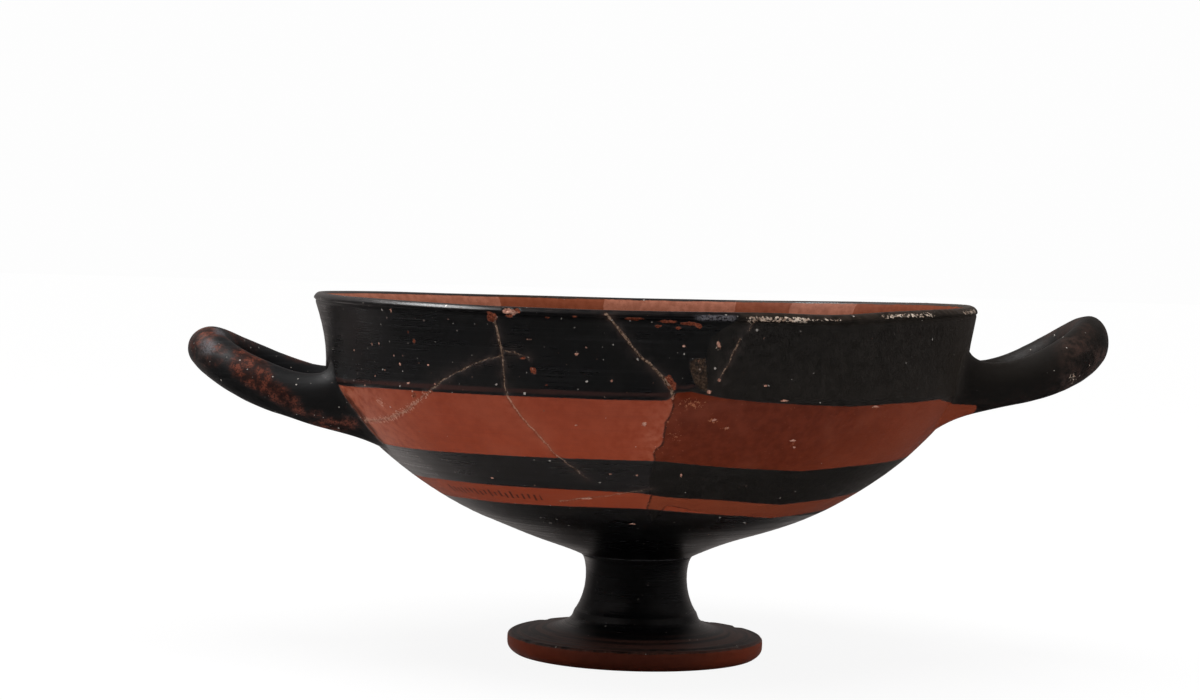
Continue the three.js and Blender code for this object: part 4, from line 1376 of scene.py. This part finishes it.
# the joint itself is a dark, uneven line
joint = g.ramp(g.math("ABSOLUTE", g.math("MULTIPLY_ADD", jag, 0.5, A["restored"])), 0.34, 0.10)
joint = g.math("MULTIPLY", joint, g.math("MULTIPLY", g.ramp(A["across"], -138.0, -128.0), g.ramp(A["across"], -62.0, -70.0)))
joint = g.math("MULTIPLY", joint, g.math("MULTIPLY", red_mask, g.math("SUBTRACT", 1.0, A["inner"])))
colour = g.mix(g.math("MULTIPLY", joint, g.ramp(n_mid, 0.35, 0.6, 0.35, 0.9)), colour, (0.030, 0.0105, 0.0065, 1))

# ink-like strokes on the narrow band, no letters
m0, m1 = spot(*MARKS_FROM), spot(*MARKS_TO)
mark_r = 0.5 * float(wall_radius(m0[1]) + wall_radius(m1[1]))
u0, u1 = float(m0[0]) * mark_r, float(m1[0]) * mark_r
p_axes = g.new("ShaderNodeSeparateXYZ")
nt.links.new(P, p_axes.inputs[0])
round_mm = g.math("MULTIPLY", g.math("ARCTAN2", p_axes.outputs[1], p_axes.outputs[0]), mark_r)
mid_z = 0.5 * (m0[1] + m1[1])
slope = (m1[1] - m0[1]) / (u1 - u0)
drift = g.math("MULTIPLY_ADD", g.math("SUBTRACT", round_mm, u0), -slope, g.math("SUBTRACT", A["height"], m0[1]))
slant = g.math("MULTIPLY_ADD", drift, -0.28, round_mm)
cell_f = g.math("DIVIDE", slant, 1.5)
cell = g.math("FLOOR", cell_f)
inside_cell = g.math("SUBTRACT", g.math("SUBTRACT", cell_f, cell), 0.5)
chance = g.new("ShaderNodeTexWhiteNoise", noise_dimensions="1D")
nt.links.new(cell, chance.inputs["W"])
chance2 = g.new("ShaderNodeTexWhiteNoise", noise_dimensions="1D")
nt.links.new(g.math("ADD", cell, 57.3), chance2.inputs["W"])
stroke = g.ramp(g.math("ABSOLUTE", inside_cell), 0.22, 0.13)
tall = g.math("MULTIPLY_ADD", chance.outputs[0], 0.5, 0.4)
stroke = g.math("MULTIPLY", stroke, g.ramp(g.math("SUBTRACT", g.math("ABSOLUTE", g.math("ADD", drift, g.math("MULTIPLY_ADD", chance2.outputs[0], 0.5, -0.25))), tall), 0.08, -0.08))
stroke = g.math("MULTIPLY", stroke, g.ramp(chance2.outputs[0], 0.16, 0.17))
window = g.math("MULTIPLY", g.ramp(round_mm, u0, u0 + 0.4), g.ramp(round_mm, u1, u1 - 0.4))
window = g.math("MULTIPLY", window, g.math("SUBTRACT", 1.0, A["inner"]))
stroke = g.math("MULTIPLY", stroke, window)
colour = g.mix(g.math("MULTIPLY", stroke, 0.85), colour, (0.030, 0.011, 0.008, 1))

# losses and cracks
colour = g.mix(g.math("MULTIPLY", patch_mask, g.ramp(g.noise(P, 1.1, 4.0, 0.65), 0.36, 0.56, 0.25, 0.95)), colour, g.mix(g.ramp(n_fine, 0.35, 0.65), (0.024, 0.0135, 0.0085, 1), (0.066, 0.042, 0.028, 1)))
chip_col = g.mix(g.ramp(n_fine, 0.3, 0.7), (0.085, 0.019, 0.010, 1), (0.235, 0.064, 0.033, 1))
colour = g.mix(chip_mask, colour, chip_col)
pale_col = g.mix(g.ramp(n_fine, 0.3, 0.7), (0.235, 0.092, 0.062, 1), (0.50, 0.285, 0.215, 1))
colour = g.mix(pale_mask, colour, pale_col)
# pale lilac grey: a strip on the lip under the rim, a ring in the groove where the stem meets the bowl, and painted
# highlight spots on the left handle's tip
colour = g.mix(g.math("MULTIPLY", A["grey"], g.ramp(n_fine, 0.34, 0.58, 0.0, 0.9)), colour, (0.125, 0.118, 0.130, 1))
fleck_n = g.noise(P, 1.5, 4.0, 0.7)
fleck_mask = g.ramp(g.math("MULTIPLY_ADD", A["fleck"], 0.34, fleck_n), 0.80, 0.86)
fleck_col = g.mix(red_mask, g.mix(g.ramp(n_mid, 0.35, 0.65), (0.30, 0.20, 0.145, 1), (0.62, 0.52, 0.43, 1)), g.mix(rest_mask, (0.40, 0.200, 0.140, 1), (0.285, 0.098, 0.047, 1)))
colour = g.mix(g.math("MULTIPLY", fleck_mask, 0.85), colour, fleck_col)
colour = g.mix(g.math("MULTIPLY", crack_rim, 0.22), colour, (0.05, 0.020, 0.012, 1))
crack_col = g.mix(g.ramp(g.noise(P, 1.7, 4.0, 0.65), 0.38, 0.62), (0.040, 0.024, 0.016, 1), (0.30, 0.200, 0.142, 1))
crack_col = g.mix(g.math("MULTIPLY", red_mask, 0.7), crack_col, (0.40, 0.190, 0.125, 1))
crack_seen = g.math("MULTIPLY", crack_mask, g.ramp(g.noise(P, 1.5, 4.0, 0.65), 0.36, 0.52, 0.25, 0.95))
colour = g.mix(crack_seen, colour, crack_col)

# specks of dust, pin losses and fine scratches
speck_at = g.new("ShaderNodeVectorMath", operation="MULTIPLY_ADD")
nt.links.new(g.noise(P, 1.9, 2.0, 0.6, "Color"), speck_at.inputs[0])
speck_at.inputs[1].default_value = (0.55, 0.55, 0.55)
nt.links.new(P, speck_at.inputs[2])
speck = g.cells(speck_at.outputs[0], 0.62)
speck_on = g.new("ShaderNodeSeparateColor")
nt.links.new(speck.outputs["Color"], speck_on.inputs[0])
speck_size = g.math("MULTIPLY_ADD", g.math("POWER", speck_on.outputs[2], 3.0), 0.125, 0.055)
speck_mask = g.ramp(g.math("SUBTRACT", speck.outputs["Distance"], speck_size), 0.018, -0.018)
speck_mask = g.math("MULTIPLY", speck_mask, g.ramp(g.math("SUBTRACT", speck_on.outputs[0], g.math("MAXIMUM", g.math("MULTIPLY", rest_mask, 0.42), g.math("MULTIPLY", red_mask, 0.62))), 0.30, 0.34))
speck_mask = g.math("MULTIPLY", speck_mask, g.ramp(g.noise(P, 0.06, 2.0), 0.35, 0.6, 0.25, 1.0))
speck_mask = g.math("MULTIPLY", speck_mask, A["dusty"])
speck_col = g.mix(g.ramp(speck_on.outputs[1], 0.1, 0.55), (0.10, 0.045, 0.030, 1), (0.50, 0.46, 0.42, 1))
colour = g.mix(g.math("MULTIPLY", speck_mask, 0.8), colour, speck_col)
scratch_n = g.noise(g.vec(g.math("MULTIPLY", A["across"], 0.35), g.math("MULTIPLY", A["height"], 5.5), 11.0), 1.0, 2.0, 0.5)
scratch = g.math("MULTIPLY", g.ramp(scratch_n, 0.70, 0.76), g.ramp(n_mid, 0.5, 0.62))
colour = g.mix(g.math("MULTIPLY", scratch, 0.22), colour, (0.09, 0.062, 0.05, 1))
nt.links.new(colour, bsdf.inputs["Base Color"])

# gloss: shiny slip, duller clay and restored paint
rough_black = g.ramp(streak, 0.3, 0.75, 0.24, 0.36)
rough_black = g.blend(g.ramp(n_big, 0.4, 0.7, 0.0, 0.5), rough_black, 0.42)
rough_black = g.blend(g.math("MAXIMUM", A["brown"], on_top), rough_black, 0.5)
rough_rest = g.ramp(n_mid, 0.3, 0.7, 0.50, 0.62)
rough_black = g.blend(A["rod"], rough_black, 0.55)
rough = g.blend(rest_mask, rough_black, rough_rest)
rough_red = g.blend(rest_mask, g.ramp(n_mid, 0.3, 0.7, 0.46, 0.58), 0.55)
rough = g.blend(red_mask, rough, rough_red)
damage = g.math("MAXIMUM", g.math("MAXIMUM", crack_mask, chip_mask), g.math("MAXIMUM", fleck_mask, g.math("MAXIMUM", pale_mask, patch_mask)))
rough = g.blend(damage, rough, 0.85)
nt.links.new(rough, bsdf.inputs["Roughness"])
bsdf.inputs["IOR"].default_value = 1.5
spec = g.blend(on_top, 0.5, 0.32)
dull_bead = g.math("MULTIPLY", bead_zone, g.ramp(A["across"], -168.0, -150.0))
spec = g.blend(dull_bead, spec, 0.1)
spec = g.blend(A["rod"], spec, 0.24)
spec = g.blend(A["brown"], spec, 0.10)
spec = g.blend(red_mask, spec, 0.08)
spec = g.blend(damage, spec, 0.1)
nt.links.new(spec, bsdf.inputs["Specular IOR Level"])

# fine relief: turning lines, grain, raised grit
grain = g.noise(P, 3.4, 4.0, 0.6)
relief = g.math("MULTIPLY", grain, 0.016)
relief = g.math("MULTIPLY_ADD", fine_streak, 0.013, relief)
relief = g.math("MULTIPLY_ADD", streak, 0.016, relief)
relief = g.math("MULTIPLY_ADD", g.math("MULTIPLY", on_top, ring_n), 0.10, relief)
relief = g.math("MULTIPLY_ADD", fleck_mask, -0.07, relief)
relief = g.math("MULTIPLY_ADD", g.math("MULTIPLY", rest_mask, n_mid), 0.10, relief)
relief = g.math("MULTIPLY_ADD", red_mask, -0.035, relief)
relief = g.math("MULTIPLY_ADD", g.math("MAXIMUM", chip_mask, pale_mask), g.math("MULTIPLY_ADD", n_fine, 0.18, -0.16), relief)
relief = g.math("MULTIPLY_ADD", crack_mask, -0.10, relief)
relief = g.math("MULTIPLY_ADD", stroke, -0.02, relief)
relief = g.math("MULTIPLY_ADD", speck_mask, 0.04, relief)
bump = g.new("ShaderNodeBump")
bump.inputs["Strength"].default_value = 0.75
bump.inputs["Distance"].default_value = MM
nt.links.new(relief, bump.inputs["Height"])
nt.links.new(bump.outputs[0], bsdf.inputs["Normal"])

mesh.materials.append(mat)
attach(cup, "root")
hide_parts("kylix")

# ------------------------------------------------------------------ floor, light, camera
floor_mesh = bpy.data.meshes.new("floor")
floor_mesh.from_pydata([(-6, -6, 0), (6, -6, 0), (6, 6, 0), (-6, 6, 0)], [], [(0, 1, 2, 3)])
floor = bpy.data.objects.new("floor", floor_mesh)
bpy.context.scene.collection.objects.link(floor)
floor.location.z = -0.0002
fm = bpy.data.materials.new("pale_floor")
fm.use_nodes = True
fn = Nodes(fm.node_tree)
fm.node_tree.nodes.clear()
f_out = fn.new("ShaderNodeOutputMaterial")
f_diff = fn.new("ShaderNodeBsdfDiffuse")
f_diff.inputs["Color"].default_value = (0.06, 0.06, 0.06, 1)
f_emit = fn.new("ShaderNodeEmission")
f_emit.inputs["Color"].default_value = (1, 1, 1, 1)
f_at = fn.new("ShaderNodeSeparateXYZ")
fm.node_tree.links.new(fn.new("ShaderNodeTexCoord").outputs["Object"], f_at.inputs[0])
f_x, f_y = fn.math("ADD", f_at.outputs[0], 0.09), fn.math("ADD", f_at.outputs[1], 0.11)
f_r2 = fn.math("MULTIPLY_ADD", f_x, f_x, fn.math("MULTIPLY", f_y, f_y))
f_lit = fn.math("POWER", fn.math("ADD", f_r2, 1.0), -2.0)
# what the lamps add near the cup is left out of the floor's own glow, so it stays even
fm.node_tree.links.new(fn.math("MULTIPLY_ADD", f_lit, -0.078, 0.985), f_emit.inputs["Strength"])
f_add = fn.new("ShaderNodeAddShader")
fm.node_tree.links.new(f_diff.outputs[0], f_add.inputs[0])
fm.node_tree.links.new(f_emit.outputs[0], f_add.inputs[1])
fm.node_tree.links.new(f_add.outputs[0], f_out.inputs["Surface"])
floor_mesh.materials.append(fm)
floor.visible_glossy = False
floor.visible_diffuse = False
floor.visible_shadow = False

# the light thrown up by the table, with the cup's own shadow on it
bounce_mesh = bpy.data.meshes.new("table_bounce")
bounce_mesh.from_pydata([(-0.34, -0.48, 0), (0.42, -0.48, 0), (0.42, 0.5, 0), (-0.34, 0.5, 0)], [], [(0, 1, 2, 3)])
bounce = bpy.data.objects.new("table_bounce", bounce_mesh)
bpy.context.scene.collection.objects.link(bounce)
bounce.location.z = -0.0004
bm = bpy.data.materials.new("white_table")
bm.use_nodes = True
bm.node_tree.nodes.clear()
bn = Nodes(bm.node_tree)
b_out = bn.new("ShaderNodeOutputMaterial")
b_diff = bn.new("ShaderNodeBsdfDiffuse")
b_diff.inputs["Color"].default_value = (0.86, 0.86, 0.86, 1)
bm.node_tree.links.new(b_diff.outputs[0], b_out.inputs["Surface"])
bounce_mesh.materials.append(bm)
bounce.visible_camera = False
bounce.visible_glossy = False

world = bpy.data.worlds.new("studio")
bpy.context.scene.world = world
world.use_nodes = True
wt = world.node_tree
wt.nodes.clear()
w = Nodes(wt)
w_out = w.new("ShaderNodeOutputWorld")
direction = w.new("ShaderNodeTexCoord").outputs["Generated"]
parts = w.new("ShaderNodeSeparateXYZ")
wt.links.new(direction, parts.inputs[0])
dx, dy, dz = parts.outputs
level = w.ramp(dz, -0.62, -0.12)
behind = w.math("MULTIPLY", w.ramp(dy, 0.35, 0.95), level)
behind = w.math("MULTIPLY", behind, w.ramp(dx, -0.35, 0.45, 0.92, 0.85))
behind = w.math("MULTIPLY", behind, w.ramp(dz, -0.36, -0.10, 1.0, 0.45))
low_left = w.math("MULTIPLY", w.math("MULTIPLY", w.ramp(dx, -0.12, -0.5), w.ramp(dy, 0.2, 0.75)), w.math("MULTIPLY", w.ramp(dz, -0.8, -0.45), w.ramp(dz, -0.13, -0.36)))
left_side_light = w.math("MULTIPLY", w.ramp(dx, -0.35, -0.95), level)
right_side_light = w.math("MULTIPLY", w.ramp(dx, 0.4, 0.98), level)
left_above = w.math("MULTIPLY", w.ramp(dx, -0.2, -0.42), w.ramp(dz, 0.35, 0.62))
right_above = w.math("MULTIPLY", w.ramp(dx, 0.25, 0.5), w.ramp(dz, 0.35, 0.62))
soft = w.math("MULTIPLY_ADD", behind, 0.62, 0.02)
soft = w.math("MULTIPLY_ADD", left_side_light, 0.045, soft)
soft = w.math("MULTIPLY_ADD", low_left, 0.48, soft)
soft = w.math("MULTIPLY_ADD", right_side_light, 0.05, soft)
soft = w.math("MULTIPLY_ADD", left_above, 0.35, soft)
soft = w.math("MULTIPLY_ADD", right_above, 0.2, soft)
bg_soft = w.new("ShaderNodeBackground")
bg_soft.inputs["Color"].default_value = (1, 0.91, 0.88, 1)
wt.links.new(soft, bg_soft.inputs["Strength"])
bg_seen = w.new("ShaderNodeBackground")
bg_seen.inputs["Color"].default_value = (1, 1, 1, 1)
bg_seen.inputs["Strength"].default_value = 0.985
path = w.new("ShaderNodeLightPath")
w_mix = w.new("ShaderNodeMixShader")
wt.links.new(path.outputs["Is Camera Ray"], w_mix.inputs[0])
wt.links.new(bg_soft.outputs[0], w_mix.inputs[1])
wt.links.new(bg_seen.outputs[0], w_mix.inputs[2])
wt.links.new(w_mix.outputs[0], w_out.inputs["Surface"])


def softbox(name, at, aim, size, power):
    data = bpy.data.lights.new(name, "AREA")
    data.shape = "RECTANGLE"
    data.size, data.size_y = size
    data.energy = power
    ob = bpy.data.objects.new(name, data)
    ob.location = at
    ob.rotation_euler = (Vector(aim) - Vector(at)).to_track_quat("-Z", "Y").to_euler()
    bpy.context.scene.collection.objects.link(ob)
    return ob


over = softbox("over", (-0.12, -0.14, 1.0), (0, -0.05, 0.0), (0.9, 0.62), 17.0)
over.visible_glossy = False
gleam = softbox("gleam", (-0.66, 0.06, 0.86), (-0.04, -0.05, 0.08), (0.50, 0.30), 7.5)
gleam.visible_diffuse = False
for side, power in ((-1, 1.3), (1, 1.9)):
    flank = softbox("flank_left" if side < 0 else "flank_right", (side * 0.72, 0.02, 0.26), (0, 0, 0.03), (0.4, 0.3), power)
    flank.visible_glossy = False

cam_data = bpy.data.cameras.new("view")
cam_data.sensor_fit = "HORIZONTAL"
cam_data.sensor_width = 36.0
cam_data.lens = 36.0 * FOCAL_PX / 1200.0
cam_data.clip_start, cam_data.clip_end = 0.01, 50.0
cam = bpy.data.objects.new("view", cam_data)
cam.matrix_world = Matrix(
    [
        [CAM_RIGHT[k], CAM_UP[k], -FORWARD[k], EYE[k] * MM] for k in range(3)
    ]
    + [[0, 0, 0, 1]]
)
bpy.context.scene.collection.objects.link(cam)
bpy.context.scene.camera = cam
bpy.context.scene.view_settings.view_transform = "Standard"

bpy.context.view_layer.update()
